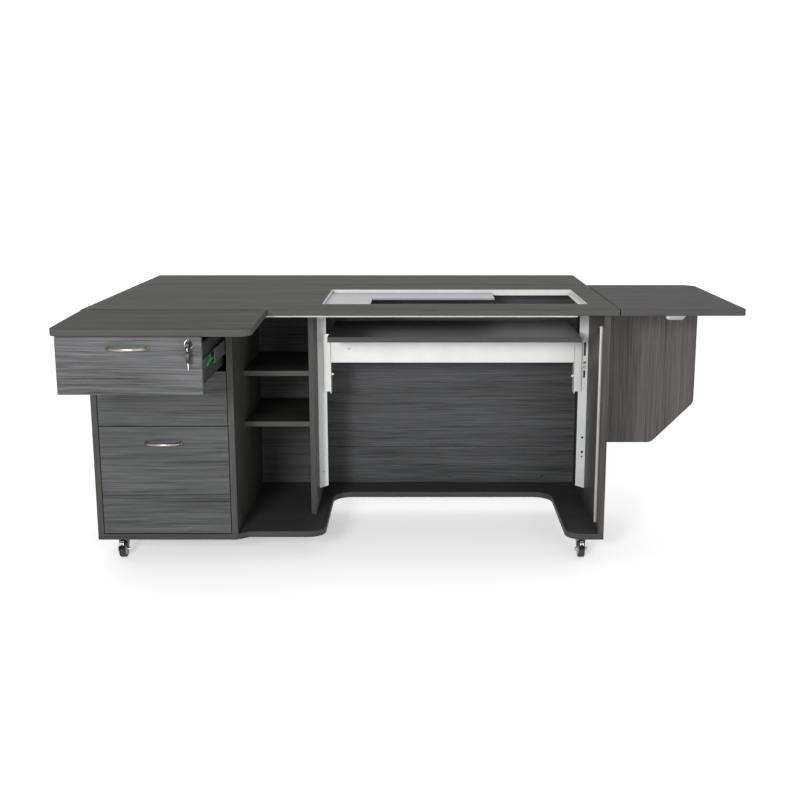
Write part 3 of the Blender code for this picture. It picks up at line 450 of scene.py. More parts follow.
# ---- laminated boards ----------------------------------------------------------------------------
# All boards are 18 mm particle board faced with printed charcoal woodgrain, with a matching band
# glued round the edges. On the top boards and the side leaf the edge faces are painted lighter, a
# painted highlight. The grain runs along the top, across the drawer fronts and backs, and up the
# side panels and the gate; on a cut end the band's grain runs along the edge.
def laminate(name, grain, width, thick, colour, figure=0.5, shine=0.46, gloss=0.18, painted_edge_light=0.0):
    """Printed woodgrain in a mean colour, whose lines run along the grain axis; painted_edge_light
    lifts the edge faces as a painted highlight.
    """
    paint = Paint(name)
    at = paint.place()
    facing = paint.add("ShaderNodeTexCoord", output="Normal")

    def axis(vector, letter):
        return paint.add("ShaderNodeSeparateXYZ", None, {0: vector}, letter)

    end = axis(facing, grain) * axis(facing, grain) > 0.5
    along, across, through = axis(at, grain), axis(at, width), axis(at, thick)
    u = along + (across - along) * end
    v = across + (through - across) * end
    w = through + (along - through) * end
    flat = paint.add("ShaderNodeCombineXYZ", None, {0: u, 1: v, 2: w})
    sway = paint.noise(flat * (1.7, 6.0, 6.0), 1.0, 2.0) - 0.5
    drift = paint.noise(flat * (7.0, 26.0, 26.0), 1.0, 2.0) - 0.5
    bent = paint.add("ShaderNodeCombineXYZ", None,
                     {0: u, 1: v + sway * 0.030 + drift * 0.006, 2: w})
    clouds = paint.noise(bent * (1.6, 7.0, 7.0), 1.0, 2.0)
    bands = paint.noise(bent * (0.9, 34.0, 34.0), 1.0, 3.0)
    streaks = paint.noise(bent * (3.2, 165.0, 165.0), 1.0, 4.0, 0.66)
    lines = paint.noise(bent * (9.0, 460.0, 460.0), 1.0, 3.0, 0.6)
    pores = paint.noise(bent * (40.0, 1900.0, 1900.0), 1.0, 1.0)
    edge = axis(facing, thick) * axis(facing, thick) < 0.5
    print_tone = clouds * 0.14 + bands * 0.22 + streaks * 0.52 + lines * 0.36 + pores * 0.06
    # The edge faces are lifted towards the light colour: a painted highlight on the boards' edges,
    # used on the tops and the side leaf.
    tone = print_tone + edge * painted_edge_light - 0.15
    dark = tuple(channel * (1 - figure) for channel in colour)
    light = tuple(channel * (1 + figure) for channel in colour)
    tint = paint.ramp(tone, (0.33, dark), (0.5, colour), (0.67, light))
    return paint.surface(Base_Color=tint, Specular_IOR_Level=gloss,
                         Roughness=lines * 0.14 + pores * 0.10 + (shine - 0.12),
                         Normal=paint.bump(lines * 0.6 + pores * 0.4, 0.12, 0.0003))


def dress(names, paint):
    """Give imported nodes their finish."""
    for name in names.split():
        for slot in nodes[name].material_slots:
            slot.material = paint


top_laminate = laminate("top_laminate", "X", "Y", "Z", (0.043, 0.0427, 0.0400), 0.62, 0.55, 0.03,
                        0.22)
base_laminate = laminate("base_laminate", "X", "Y", "Z", (0.046, 0.046, 0.046), 0.38, 0.50, 0.10)
front_laminate = laminate("front_laminate", "X", "Z", "Y", (0.080, 0.081, 0.083), 0.80)
back_laminate = laminate("back_laminate", "X", "Z", "Y", (0.055, 0.056, 0.058), 0.75)
side_laminate = laminate("side_laminate", "Z", "Y", "X", (0.050, 0.050, 0.048), 0.40)
warm_laminate = laminate("warm_laminate", "Z", "X", "Y", (0.078, 0.0705, 0.0705), 0.58)
warm_side = laminate("warm_side", "Z", "Y", "X", (0.046, 0.042, 0.041), 0.50)
warm_top = laminate("warm_top", "X", "Y", "Z", (0.043, 0.0418, 0.0412), 0.60, 0.55, 0.03, 0.21)
# The middle and bottom drawer fronts take a darker copy of the front laminate: painted shade, for
# the light that falls off down the front.
low_laminate = laminate("low_laminate", "X", "Z", "Y", (0.059, 0.060, 0.061), 0.66)
dress("base_board", base_laminate)
dress("main_top back_leaf front_leaf lower_shelf upper_shelf", top_laminate)
dress("top_drawer_front", front_laminate)
dress("middle_drawer_front bottom_drawer_front", low_laminate)
dress("storage_back knee_back_lower knee_back_upper", back_laminate)
dress("left_side_panel drawer_partition knee_panel", side_laminate)
dress("right_side_panel", warm_side)
dress("gate_panel", warm_laminate)
dress("side_leaf", warm_top)

# ---- cover caps and shelf pins -------------------------------------------------------------------
# Moulded caps press into the heads of the cam fittings that pull the boards together, and each
# shelf lies on four steel pins pushed into the panels beside it.
cap_nylon = plain_finish("cap_nylon", (0.022, 0.022, 0.023), (0.036, 0.036, 0.037), 0.5,
                         relief=0.15)
CAP_HEIGHT = 0.117
back_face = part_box("knee_back_lower")[0].y
caps = []
for x in (-0.198, 0.119, 0.436):
    cap = round_bar((x, back_face - 0.0006, CAP_HEIGHT), 0.0056, 0.0012, "Y", 28)
    pick(cap, lambda c, n: n.y < -0.9)
    bpy.ops.mesh.inset(thickness=0.0012)
    pull((0, -0.0005, 0))
    close_up()
    caps.append(eased(cap, 0.0003, 2))
finished(together(caps), "cover_caps", "cabinet", cap_nylon)

PIN_SETBACK = 0.040
pins = []
for shelf in ("lower_shelf", "upper_shelf"):
    low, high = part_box(shelf)
    for x, inward in ((low.x, 1), (high.x, -1)):
        for y in (low.y + PIN_SETBACK, high.y - PIN_SETBACK):
            peg = round_bar((x + inward * 0.0042, y, low.z - 0.0027), 0.0025, 0.0084, "X", 16)
            pick(peg, lambda c, n: n.x * inward > 0.9)
            bpy.ops.mesh.inset(thickness=0.0007)
            pull((inward * 0.0006, 0, 0))
            close_up()
            pins.append(peg)
finished(together(pins), "shelf_pins", "cabinet", bright_steel)

# ---- lift rails and gas struts -------------------------------------------------------------------
# A folded steel channel is screwed to the panel on each side of the knee space, coated light grey.
# The right one has the height slots and stop holes in its front flange, with a black sheet behind
# them as painted shade, so the slots read dark. A gas strut stands in the back of each: a black
# cylinder and a polished rod between sockets.
rail_coat = plain_finish("rail_coat", (0.60, 0.61, 0.61), (0.67, 0.68, 0.68), 0.36, 0.08,
                         relief=0.04)


def channel(low, high, mouth, sheet):
    """A folded channel that fills a box and is open along X towards its mouth, and at both ends."""
    piece = slab(low, high)
    ends = 2 if (Vector(high) - Vector(low)).z > (Vector(high) - Vector(low)).y else 1
    pick(piece, lambda c, n: n.x * mouth > 0.9 or abs(n[ends]) > 0.9)
    bpy.ops.mesh.delete(type="FACE")
    close_up()
    return with_modifier(piece, "SOLIDIFY", thickness=sheet, offset=-1)


def slot_tool(x, y, low, high, radius, depth=0.012):
    """A round-ended bar along Y that punches a slot."""
    tool = round_bar((x, y, (low + high) / 2), radius, depth, "Y", 24)
    mesh = edit(tool, "VERT")
    for vert in mesh.verts:
        half = (high - low) / 2 - radius
        vert.co.z += half if vert.co.z > (low + high) / 2 else -half
    bmesh.update_edit_mesh(tool.data)
    close_up()
    return tool


def pan_screw(centre, radius, axis="Y", out=-1, deep=0.45):
    """A pan head screw seen from outside, with a socket in it."""
    height = radius * 0.55
    middle = Vector(centre)
    way = Vector([out if letter == axis else 0 for letter in "XYZ"])
    head = round_bar(middle + way * height / 2, radius, height, axis, 20)
    pick(head, lambda c, n: n.dot(way) > 0.9)
    bpy.ops.mesh.inset(thickness=radius * 0.22)
    bpy.ops.transform.translate(value=way * radius * 0.16)
    bpy.ops.mesh.inset(thickness=radius * 0.34)
    pull(tuple(-way * radius * deep))
    close_up()
    return head


RAIL_SHEET = 0.0020
SHORT_FLANGE = 0.012
FOOT_SLOPE = 0.32
HEIGHT_SLOTS = ((0.577, 0.621, 0.0034), (0.507, 0.532, 0.0034), (0.3100, 0.3180, 0.0037),
                (0.2622, 0.2706, 0.0039), (0.2480, 0.2538, 0.0027))
for side, mouth in (("left", 1), ("right", -1)):
    low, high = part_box("lift_rail_" + side)
    rail = channel(low, high, mouth, RAIL_SHEET)
    mesh = edit(rail, "VERT")
    wall = low.x if mouth > 0 else high.x
    for vert in mesh.verts:
        if vert.co.y > low.y + 0.01 and abs(vert.co.x - wall) > 0.01:
            vert.co.x -= mouth * SHORT_FLANGE
        if vert.co.z < low.z + 0.001:
            vert.co.z += FOOT_SLOPE * abs(vert.co.x - wall)
    bmesh.update_edit_mesh(rail.data)
    close_up()
    middle_x = (low.x + high.x) / 2
    screws = []
    if side == "right":
        slot_x = middle_x + 0.004
        for z_low, z_high, radius in HEIGHT_SLOTS:
            cut(rail, slot_tool(slot_x, low.y, z_low, z_high, radius))
        # A black sheet behind the height slots: painted shade, standing in for the shade inside the
        # rail seen through the slots.
        slot_shade = slab((middle_x - 0.009, low.y + 0.0021, 0.2350),
                     (middle_x + 0.0115, low.y + 0.0032, 0.6400))
        eased(slot_shade, 0.0004, 2)
        finished(slot_shade, "rail_liner", "cabinet", black_nylon)
        for z in (0.556, 0.541):
            screws.append(pan_screw((slot_x, low.y, z), 0.0050))
    else:
        screws = [pan_screw((middle_x + 0.002, low.y, z), 0.0036) for z in (0.700, 0.200)]
    for z in (0.225, 0.430, 0.690):
        web = wall + mouth * RAIL_SHEET
        screws.append(pan_screw((web, (low.y + high.y) / 2 + 0.006, z), 0.0044, "X", mouth))
    eased(rail, 0.0004, 1, 60)
    finished(rail, "rail_" + side, "cabinet", rail_coat)
    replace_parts(rail, "lift_rail_" + side)
    finished(together(screws), "rail_screws_" + side, "cabinet", bright_steel)

strut_black = plain_finish("strut_black", (0.008, 0.008, 0.009), (0.014, 0.014, 0.015), 0.24,
                           relief=0.02)
rod_chrome = plain_finish("rod_chrome", (0.62, 0.63, 0.64), (0.72, 0.73, 0.74), 0.12, 0.06, 1.0,
                          0.01)
for side in ("left", "right"):
    low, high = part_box("gas_strut_" + side)
    centre = (low + high) / 2
    strut = round_bar(centre, high.x - centre.x, high.z - low.z, "Z", 36)
    pick(strut, lambda c, n: n.z > 0.9)
    bpy.ops.mesh.inset(thickness=0.0024)
    bpy.ops.transform.translate(value=(0, 0, 0.0030))
    bpy.ops.mesh.inset(thickness=0.0016)
    pull((0, 0, -0.0040))
    close_up()
    eased(strut, 0.0009, 3)
    socket = round_bar((centre.x, centre.y, low.z - 0.006), 0.0052, 0.012, "Z", 20)
    pick(socket, lambda c, n: n.z < -0.9)
    squeeze((0.7, 0.7, 1), (centre.x, centre.y, low.z - 0.012))
    close_up()
    eased(socket, 0.0008, 2)
    strut = finished(together([strut, socket]), "strut_body_" + side, "cabinet",
                     strut_black)
    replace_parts(strut, "gas_strut_" + side)
    low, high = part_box("gas_rod_" + side)
    shaft = round_bar((low + high) / 2, high.x - centre.x, high.z - low.z, "Z", 28)
    eased(shaft, 0.0006, 2)
    shaft = finished(shaft, "strut_rod_" + side, "gas_rods", rod_chrome)
    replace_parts(shaft, "gas_rod_" + side)
    eye = round_bar((centre.x, centre.y, high.z + 0.004), 0.0056, 0.014, "Z", 20)
    pick(eye, lambda c, n: n.z > 0.9)
    bpy.ops.mesh.inset(thickness=0.0015)
    pull((0, 0, 0.003))
    close_up()
    eased(eye, 0.0007, 2)
    finished(eye, "strut_eye_" + side, "gas_rods", black_nylon)

# ---- machine lift --------------------------------------------------------------------------------
# The machine stands on a 16 mm board with a smooth charcoal face. A folded white beam carries its
# front edge between two white brackets, whose nylon shoes run in the rails; a shouldered stop pin
# stands out of each bracket.
lift_white = plain_finish("lift_white", (0.59, 0.59, 0.572), (0.65, 0.65, 0.632), 0.36, 0.08,
                          relief=0.03)
platform_face = laminate("platform_face", "X", "Y", "Z", (0.050, 0.051, 0.051), 0.15, 0.50, 0.12)
dress("lift_platform", platform_face)
BEND = 0.0025
BRACKET_WIDTH = 0.022
STOP_HEIGHT = 0.516
SHOE_HALF = 0.065
for side, mouth in (("left", 1), ("right", -1)):
    low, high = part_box("lift_bracket_" + side)
    inner = high.x if mouth > 0 else low.x
    outer = inner - mouth * BRACKET_WIDTH
    foot = low.z + 0.007
    bracket = slab((min(inner, outer), low.y, foot), (max(inner, outer), low.y + BEND, high.z))
    split(bracket, (inner - mouth * BEND, 0, 0), (1, 0, 0))
    pick(bracket, lambda c, n: n.y > 0.9 and abs(c.x - inner) < BEND)
    pull((0, high.y - low.y - BEND, 0))
    close_up()
    pick(bracket, lambda c, n: n.z < -0.9 and abs(c.x - inner) < BEND and c.y > low.y + BEND)
    pull((0, 0, foot - low.z - 0.014))
    squeeze((1, 0.72, 1), (inner, low.y + BEND, low.z))
    close_up()
    eased(bracket, 0.0009, 3)
    bracket = finished(bracket, "bracket_" + side, "lift", lift_white)
    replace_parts(bracket, "lift_bracket_" + side)
    rail_low, rail_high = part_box("lift_rail_" + side)
    wall = rail_low.x if mouth > 0 else rail_high.x
    shoe_z = (foot + high.z) / 2
    shoe_ends = (wall + mouth * 0.006, inner - mouth * 0.0027)
    shoe = slab((min(shoe_ends), rail_low.y + 0.0040, shoe_z - SHOE_HALF),
                (max(shoe_ends), high.y - 0.0010, shoe_z + SHOE_HALF))
    pick(shoe, lambda c, n: n.x * mouth < -0.9)
    bpy.ops.mesh.inset(thickness=0.004)
    pull((mouth * 0.002, 0, 0))
    close_up()
    eased(shoe, 0.0012, 2)
    finished(shoe, "lift_shoe_" + side, "lift", black_nylon)
    knob = round_bar((inner + mouth * 0.0034, low.y + 0.016, STOP_HEIGHT + mouth * 0.003),
                     0.0042, 0.0068, "X", 28)
    pick(knob, lambda c, n: n.x * mouth > 0.9)
    bpy.ops.mesh.inset(thickness=0.0010)
    pull((mouth * 0.0010, 0, 0))
    bpy.ops.mesh.inset(thickness=0.0012)
    pull((-mouth * 0.0008, 0, 0))
    close_up()
    eased(knob, 0.0003, 2)
    finished(knob, "stop_pin_" + side, "lift", lift_white)

HEM = 0.02
low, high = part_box("lift_beam")
beam = slab((low.x + 0.0010, low.y, low.z), (high.x - 0.0010, low.y + BEND, high.z))
for fold in (low.z + BEND, high.z - BEND):
    split(beam, (0, 0, fold), (0, 0, 1))
pick(beam, lambda c, n: n.y > 0.9 and (c.z < low.z + BEND or c.z > high.z - BEND))
pull((0, high.y - low.y - BEND, 0))
close_up()
pick_edges(beam, lambda a, b: max(a.y, b.y) < low.y + 1e-4 and abs(a.z - b.z) < 1e-5
           and (a.z < low.z + 1e-4 or a.z > high.z - 1e-4))
bpy.ops.mesh.bevel(offset=0.0022, segments=4, affect="EDGES")
close_up()
cut(beam, round_bar((-0.205, low.y, 0.602), 0.0021, 0.02, "Y", 24))
beam = finished(beam, "front_beam", "lift", lift_white)
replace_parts(beam, "lift_beam")
ties = [pan_screw((x, low.y + BEND + 0.003, z), 0.0036, "Y", 1)
        for x in (low.x + HEM, high.x - HEM) for z in (low.z + HEM, high.z - HEM)]
finished(together(ties), "beam_screws", "lift", bright_steel)

# ---- opening rim, insert and strips --------------------------------------------------------------
# A white angle rim is glued round the machine opening. A frosted acrylic insert lies on its ledge
# and fills in round the machine's bed. A white steel strip stiffens the top's front edge, and a
# satin strip is screwed to the right panel's inner face.
dress("opening_rim top_stiffener", lift_white)
frosted = Paint("frosted_acrylic")
mist = frosted.noise(frosted.place(), 9.0, 3.0)
skin = frosted.noise(frosted.place(), 900.0, 2.0)
sheet_colour = frosted.ramp(mist, (0.3, (0.232, 0.234, 0.260)), (0.7, (0.268, 0.270, 0.298)))
frosted.surface(Base_Color=sheet_colour, Roughness=mist * 0.10 + 0.30, Specular_IOR_Level=0.2,
                Normal=frosted.bump(skin, 0.08, 0.0001))
dress("acrylic_insert", frosted.material)
strip_satin = plain_finish("strip_satin", (0.34, 0.33, 0.32), (0.42, 0.41, 0.40), 0.38, 0.10, 0.5,
                           0.03)
STRIP_WIDTH = 0.0075
low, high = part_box("panel_strip")
strip = slab((high.x - STRIP_WIDTH, low.y + 0.0015, low.z), (high.x, high.y - 0.0015, high.z))
pick_edges(strip, lambda a, b: abs(a.z - b.z) < 1e-4 and abs(a.y - b.y) < 1e-4
           or abs(a.z - b.z) > 0.1 and max(a.x, b.x) < high.x - 0.001)
bpy.ops.mesh.bevel(offset=0.0030, segments=4, affect="EDGES")
close_up()
strip = finished(strip, "edge_strip", "cabinet", strip_satin)
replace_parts(strip, "panel_strip")
LEDGE_MIDDLE = 0.0056
low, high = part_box("opening_rim")
front, back, right = low.y + LEDGE_MIDDLE, high.y - LEDGE_MIDDLE, high.x - LEDGE_MIDDLE
rim_screws = [pan_screw((x, y, low.z + 0.0020), 0.0028, "Z", 1)
              for x, y in ((right, back), (right, front), (0.300, back), (-0.100, front),
                           (0.200, front))]
finished(together(rim_screws), "rim_screws", "cabinet", bright_steel)

# ---- leaf hinges ---------------------------------------------------------------------------------
# The leaves turn on long steel pins in their seams. Under the back and side leaves, steel flaps are
# screwed to the boards on both sides of the seam; the side leaf's stand clear of the gate's swing.
dark_steel = plain_finish("dark_steel", (0.030, 0.030, 0.031), (0.050, 0.050, 0.051), 0.42, 0.12,
                          0.6)
dress("back_leaf_hinge side_leaf_hinge front_leaf_hinge", dark_steel)
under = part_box("main_top")[0].z


def flap(name, body, corner, run, depth):
    """A hinge flap screwed under a board; run is along the seam and depth away from it."""
    corner, run, depth = Vector(corner), Vector(run), Vector(depth)
    far = corner + run + depth
    low = Vector(map(min, corner, far))
    high = Vector(map(max, corner, far))
    plate = slab((low.x, low.y, under - 0.0018), (high.x, high.y, under - 0.0002))
    pick_edges(plate, lambda a, b: abs(a.z - b.z) > 0.001)
    bpy.ops.mesh.bevel(offset=0.003, segments=3, affect="EDGES")
    close_up()
    parts = [eased(plate, 0.0003, 1)]
    for share in (0.18, 0.5, 0.82):
        spot = corner + run * share + depth * (0.45 if share == 0.5 else 0.65)
        parts.append(pan_screw((spot.x, spot.y, under - 0.0018), 0.0032, "Z", -1))
    return finished(together(parts), name, body, bright_steel)


SEAM_ROOM = 0.0038
BACK_FLAP = (0.07, 0.028)
SIDE_FLAP = (0.06, 0.026)
NARROW_FLAP = 0.0145
seam_y = (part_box("main_top")[1].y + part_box("back_leaf")[0].y) / 2
for number, x in enumerate((-0.78, -0.20, 0.38), 1):
    for board, body, side in (("top", "cabinet", -1), ("leaf", "back_leaf", 1)):
        flap("back_flap_%s_%d" % (board, number), body, (x, seam_y + side * SEAM_ROOM, 0),
             (BACK_FLAP[0], 0, 0), (0, side * BACK_FLAP[1], 0))
seam_x = (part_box("main_top")[1].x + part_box("side_leaf")[0].x) / 2
for number, y in enumerate((-0.25, -0.09), 1):
    for board, body, step in (("top", "cabinet", -NARROW_FLAP),
                              ("leaf", "side_leaf", SIDE_FLAP[1])):
        flap("side_flap_%s_%d" % (board, number), body,
             (seam_x + math.copysign(SEAM_ROOM, step), y, 0), (0, SIDE_FLAP[0], 0), (step, 0, 0))

# ---- gate hinge and latch ------------------------------------------------------------------------
# The gate swings on a long steel hinge on the right panel: knuckles on a pin, with one leaf screwed
# to the panel and the other to the gate's back. A latch under the side leaf catches the gate.
low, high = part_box("gate_hinge")
pin = joint_place("gate_swing")
KNUCKLE = 0.0215
KNUCKLE_RADIUS = 0.0028
KNUCKLE_GAP = 0.0006
PIN_ROOM = 0.0032
LEAF_WIDTH = 0.028
SCREW_ROW = 0.017
SHEET = 0.0014
tall = high.z - low.z
count = int(tall / KNUCKLE)
pitch = tall / count
half = (pitch - KNUCKLE_GAP) / 2
panel_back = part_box("gate_panel")[1].y
for body, odd, shares in (("cabinet", 0, (0.05, 0.275, 0.5, 0.725, 0.95)),
                          ("gate", 1, (0.1, 0.37, 0.63, 0.9))):
    heights = [low.z + share * tall for share in shares]
    if body == "cabinet":
        leaf = slab((low.x, pin[1] + PIN_ROOM, low.z), (low.x + SHEET, pin[1] + LEAF_WIDTH, high.z))
        screws = [pan_screw((low.x + SHEET, pin[1] + SCREW_ROW, z), 0.0030, "X", 1)
                  for z in heights]
    else:
        face = panel_back + 0.0002
        leaf = slab((pin[0] + PIN_ROOM, face, low.z), (pin[0] + LEAF_WIDTH, face + SHEET, high.z))
        screws = [pan_screw((pin[0] + SCREW_ROW, face + SHEET, z), 0.0030, "Y", 1)
                  for z in heights]
    knuckles = []
    for k in range(odd, count, 2):
        z = low.z + (k + 0.5) * pitch
        knuckles.append(eased(round_bar((pin[0], pin[1], z), KNUCKLE_RADIUS, 2 * half, "Z", 20),
                              0.0003, 1))
        if body == "cabinet":
            tongue = slab((low.x + 0.0001, pin[1], z - half),
                          (low.x + SHEET - 0.0001, pin[1] + PIN_ROOM + 0.001, z + half))
        else:
            tongue = slab((pin[0], panel_back + 0.0003, z - half),
                          (pin[0] + PIN_ROOM + 0.001, panel_back + 0.0001 + SHEET, z + half))
        knuckles.append(tongue)
    eased(leaf, 0.0003, 1)
    hinge = finished(together([leaf, *knuckles, *screws]), "gate_hinge_" + body, body,
                     bright_steel)
    if body == "cabinet":
        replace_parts(hinge, "gate_hinge")

latch_plate = plain_finish("latch_plate", (0.30, 0.31, 0.32), (0.40, 0.41, 0.42), 0.36, 0.10, 0.8,
                           0.04)
LATCH_SHEET = 0.0025
low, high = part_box("gate_latch")
latch = slab((low.x, high.y - LATCH_SHEET, low.z), high)
for corner, offset, segments in ((low.x, 0.0100, 6), (high.x, 0.0115, 1)):
    pick_edges(latch, lambda a, b: max(a.z, b.z) < low.z + 1e-4 and abs(a.y - b.y) > 0.001
               and abs(a.x - corner) < 0.001)
    bpy.ops.mesh.bevel(offset=offset, segments=segments, affect="EDGES")
    close_up()
split(latch, (0, 0, high.z - LATCH_SHEET), (0, 0, 1))
pick(latch, lambda c, n: n.y < -0.9 and c.z > high.z - LATCH_SHEET)
pull((0, low.y + LATCH_SHEET - high.y, 0))
close_up()
eased(latch, 0.0006, 2)
latch = finished(latch, "latch", "side_leaf", latch_plate)
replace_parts(latch, "gate_latch")
latch_bolt = pan_screw((low.x + 0.0075, high.y - LATCH_SHEET, low.z + 0.0085), 0.0036)
finished(latch_bolt, "latch_screw", "side_leaf", bright_steel)

# ---- drawer boxes --------------------------------------------------------------------------------
# Each box is four 12 mm laminated sides round a thin bottom panel let into a groove, with eased top
# edges, screwed to its front from inside.
box_laminate = laminate("box_laminate", "Y", "Z", "X", (0.040, 0.040, 0.040), 0.40)
WALL = 0.012
for level in ("top", "middle", "bottom"):
    low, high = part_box(level + "_drawer_box")
    box = slab(low, high)
    pick(box, lambda c, n: n.z > 0.9)
    bpy.ops.mesh.inset(thickness=WALL)
    pull((0, 0, -(high.z - low.z - 0.008)))
    close_up()
    pick(box, lambda c, n: n.z < -0.9)
    bpy.ops.mesh.inset(thickness=WALL)
    pull((0, 0, 0.0030))
    close_up()
    eased(box, 0.0009, 3)
    box = finished(box, level + "_box", level + "_drawer", box_laminate)
    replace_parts(box, level + "_drawer_box")
    back = low.y + WALL
    heads = [pan_screw((x, back, z), 0.0042, "Y", 1)
             for x in (low.x + 0.05, high.x - 0.05) for z in (low.z + 0.03, high.z - 0.03)]
    finished(together(heads), level + "_front_screws", level + "_drawer",
             bright_steel)

# ---- bow handles ---------------------------------------------------------------------------------
# Cast zinc bow handles in warm satin nickel: two round feet and a bar that rises to a flat, wide
# middle, fixed with screws through the drawer front.
satin_nickel = Paint("satin_nickel")
brush = satin_nickel.noise(satin_nickel.place((60.0, 1400.0, 1400.0)), 1.0, 3.0)
patina = satin_nickel.noise(satin_nickel.place(), 30.0, 3.0)
nickel_colour = satin_nickel.ramp(patina, (0.3, (0.29, 0.265, 0.225)), (0.7, (0.37, 0.340, 0.290)))
satin_nickel.surface(Base_Color=nickel_colour, Metallic=1.0, Roughness=brush * 0.14 + 0.27,
                     Normal=satin_nickel.bump(brush, 0.08, 0.0001))
FOOT_RADIUS = 0.0057
FOOT_HEIGHT = 0.0053
BOW_STEPS = 22


def handle_foot(x, face, z):
    """A round foot on the drawer front, open for the bar at its drawn-in end."""
    foot = round_bar((x, face - 0.0020, z), FOOT_RADIUS, 0.0034, "Y", 24)
    pick(foot, lambda c, n: n.y < -0.9)
    pull((0, -0.0016, 0))
    squeeze((0.72, 1, 0.72), (x, face, z))
    return foot


def widening(i):
    """How much wider the bar grows at a step of the bow, and narrows again after the middle."""
    step = 1.0 + 0.030 * math.sin(math.pi * min(i, BOW_STEPS - i) / BOW_STEPS)
    return step if i < BOW_STEPS // 2 else 1 / step


for level in ("top", "middle", "bottom"):
    low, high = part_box(level + "_drawer_handle")
    middle = (low + high) / 2
    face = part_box(level + "_drawer_front")[0].y
    half = (high.x - low.x) / 2 - 0.0058
    rise = face - low.y - 0.0042
    bar = handle_foot(middle.x - half, face, middle.z)
    points = [(-half * math.cos(math.pi * i / BOW_STEPS),
               rise * math.sin(math.pi * i / BOW_STEPS) ** 0.95) for i in range(BOW_STEPS + 1)]
    here = Vector((middle.x - half, face - FOOT_HEIGHT, middle.z))
    way = Vector((0, -1, 0))
    for i in range(1, BOW_STEPS):
        depth = min(face - FOOT_HEIGHT, face - 0.0010 - points[i][1])
        spot = Vector((middle.x + points[i][0], depth, middle.z))
        (x_before, y_before), (x_after, y_after) = points[i - 1], points[i + 1]
        ahead = Vector((x_after - x_before, y_before - y_after, 0)).normalized()
        pull(tuple(spot - here))
        turn = math.atan2(way.cross(ahead).z, way.dot(ahead))
        bpy.ops.transform.rotate(value=-turn, orient_axis="Z", center_override=spot)
        squeeze((1, 1, widening(i)), spot)
        here, way = spot, ahead
    pull((middle.x + half - here.x, face - FOOT_HEIGHT - here.y, 0))
    close_up()
    foot = handle_foot(middle.x + half, face, middle.z)
    close_up()
    bar = finished(together([bar, foot]), level + "_handle", level + "_drawer",
                   satin_nickel.material, 45)
    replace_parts(bar, level + "_drawer_handle")

# ---- drawer slides -------------------------------------------------------------------------------
# The drawers run on zinc-plated ball-bearing slides. The top drawer's are telescopic, in three
# members, with a green lever in each that lets the drawer off. The other two have two members.
zinc_slide = plain_finish("zinc_slide", (0.30, 0.31, 0.31), (0.44, 0.45, 0.45), 0.34, 0.14, 0.95)
for member in ("outer", "middle", "inner"):
    dress("top_slide_%s_left top_slide_%s_right" % (member, member), zinc_slide)
lever_green = plain_finish("lever_green", (0.020, 0.300, 0.050), (0.030, 0.420, 0.075), 0.35,
                           relief=0.06)
LEVER_REACH = 0.060
LEVER_BEND = 0.040
lever_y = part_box("top_slide_middle_right")[0].y - 0.004
for side, out in (("left", -1), ("right", 1)):
    low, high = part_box("top_slide_inner_" + side)
    web = low.x + 0.0010 if out > 0 else high.x - 0.0010
    centre = (low.z + high.z) / 2
    mouth = high.x if out > 0 else low.x
    lever = slab((min(web, mouth) + 0.0012, lever_y - LEVER_REACH, centre - 0.0060),
                 (max(web, mouth) - 0.0010, lever_y + 0.004, centre - 0.0010))
    pick(lever, lambda c, n: n.y < -0.9)
    pull((0, -0.0080, -0.0060))
    pull((0, -0.0100, -0.0020))
    close_up()
    split(lever, (0, lever_y - LEVER_BEND, 0), (0, 1, 0))
    pick(lever, lambda c, n: n.z > 0.9 and c.y < lever_y - LEVER_BEND - 0.002)
    pull((0, 0.0030, 0.0050))
    pull((0, 0.0060, 0.0040))
    squeeze((1, 0.5, 1), (0, lever_y - LEVER_BEND, centre))
    close_up()
    eased(lever, 0.0007, 2)
    finished(lever, "release_lever_" + side, "top_drawer", lever_green)

SLIDE_SHEET = 0.0012
FIT = 0.0003
for level in ("middle", "bottom"):
    low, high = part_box(level + "_drawer_box")
    centre = (low.z + high.z) / 2
    for side, wall, box_side, out in (("left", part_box("left_side_panel")[1].x, low.x, 1),
                                      ("right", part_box("drawer_partition")[0].x, high.x, -1)):
        for member, body, ends, tall, mouth in (
                ("outer", "cabinet", (wall + out * FIT, wall + out * 0.0105), 0.0225, out),
                ("inner", level + "_drawer", (box_side - out * FIT, box_side - out * 0.0070),
                 0.0155, -out)):
            slide = channel((min(ends), low.y, centre - tall), (max(ends), high.y, centre + tall),
                            mouth, SLIDE_SHEET)
            finished(slide, "%s_slide_%s_%s" % (level, member, side), body,
                     zinc_slide)

# ---- lock and keys -------------------------------------------------------------------------------
# A cam lock in the top drawer's front: a chrome ring round a black core with a keyway. One key is
# in it, with a moulded black bow, and its twin hangs from it on a split ring.
chrome = plain_finish("lock_chrome", (0.68, 0.68, 0.69), (0.78, 0.78, 0.79), 0.10, 0.06, 1.0, 0.01)
key_black = plain_finish("key_black", (0.007, 0.007, 0.008), (0.013, 0.013, 0.014), 0.42,
                         relief=0.08)
PLUG_RADIUS = 0.0091
KEYWAY = (0.0009, 0.0042)
BOW_THICKNESS = 0.0092
low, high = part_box("drawer_lock")
lock = Vector(((low.x + high.x) / 2, low.y, (low.z + high.z) / 2))
radius = (high.x - low.x) / 2
barrel = round_bar((lock.x, (low.y + high.y) / 2, lock.z), PLUG_RADIUS, high.y - low.y - 0.0042,
                   "Y", 48)
collar = round_bar((lock.x, low.y + 0.0019, lock.z), radius, 0.0035, "Y", 56)
pick(collar, lambda c, n: n.y < -0.9)
bpy.ops.mesh.inset(thickness=0.0012)
bpy.ops.transform.translate(value=(0, 0.0002, 0))
bpy.ops.mesh.inset(thickness=0.0016)
pull((0, 0.0012, 0))
close_up()
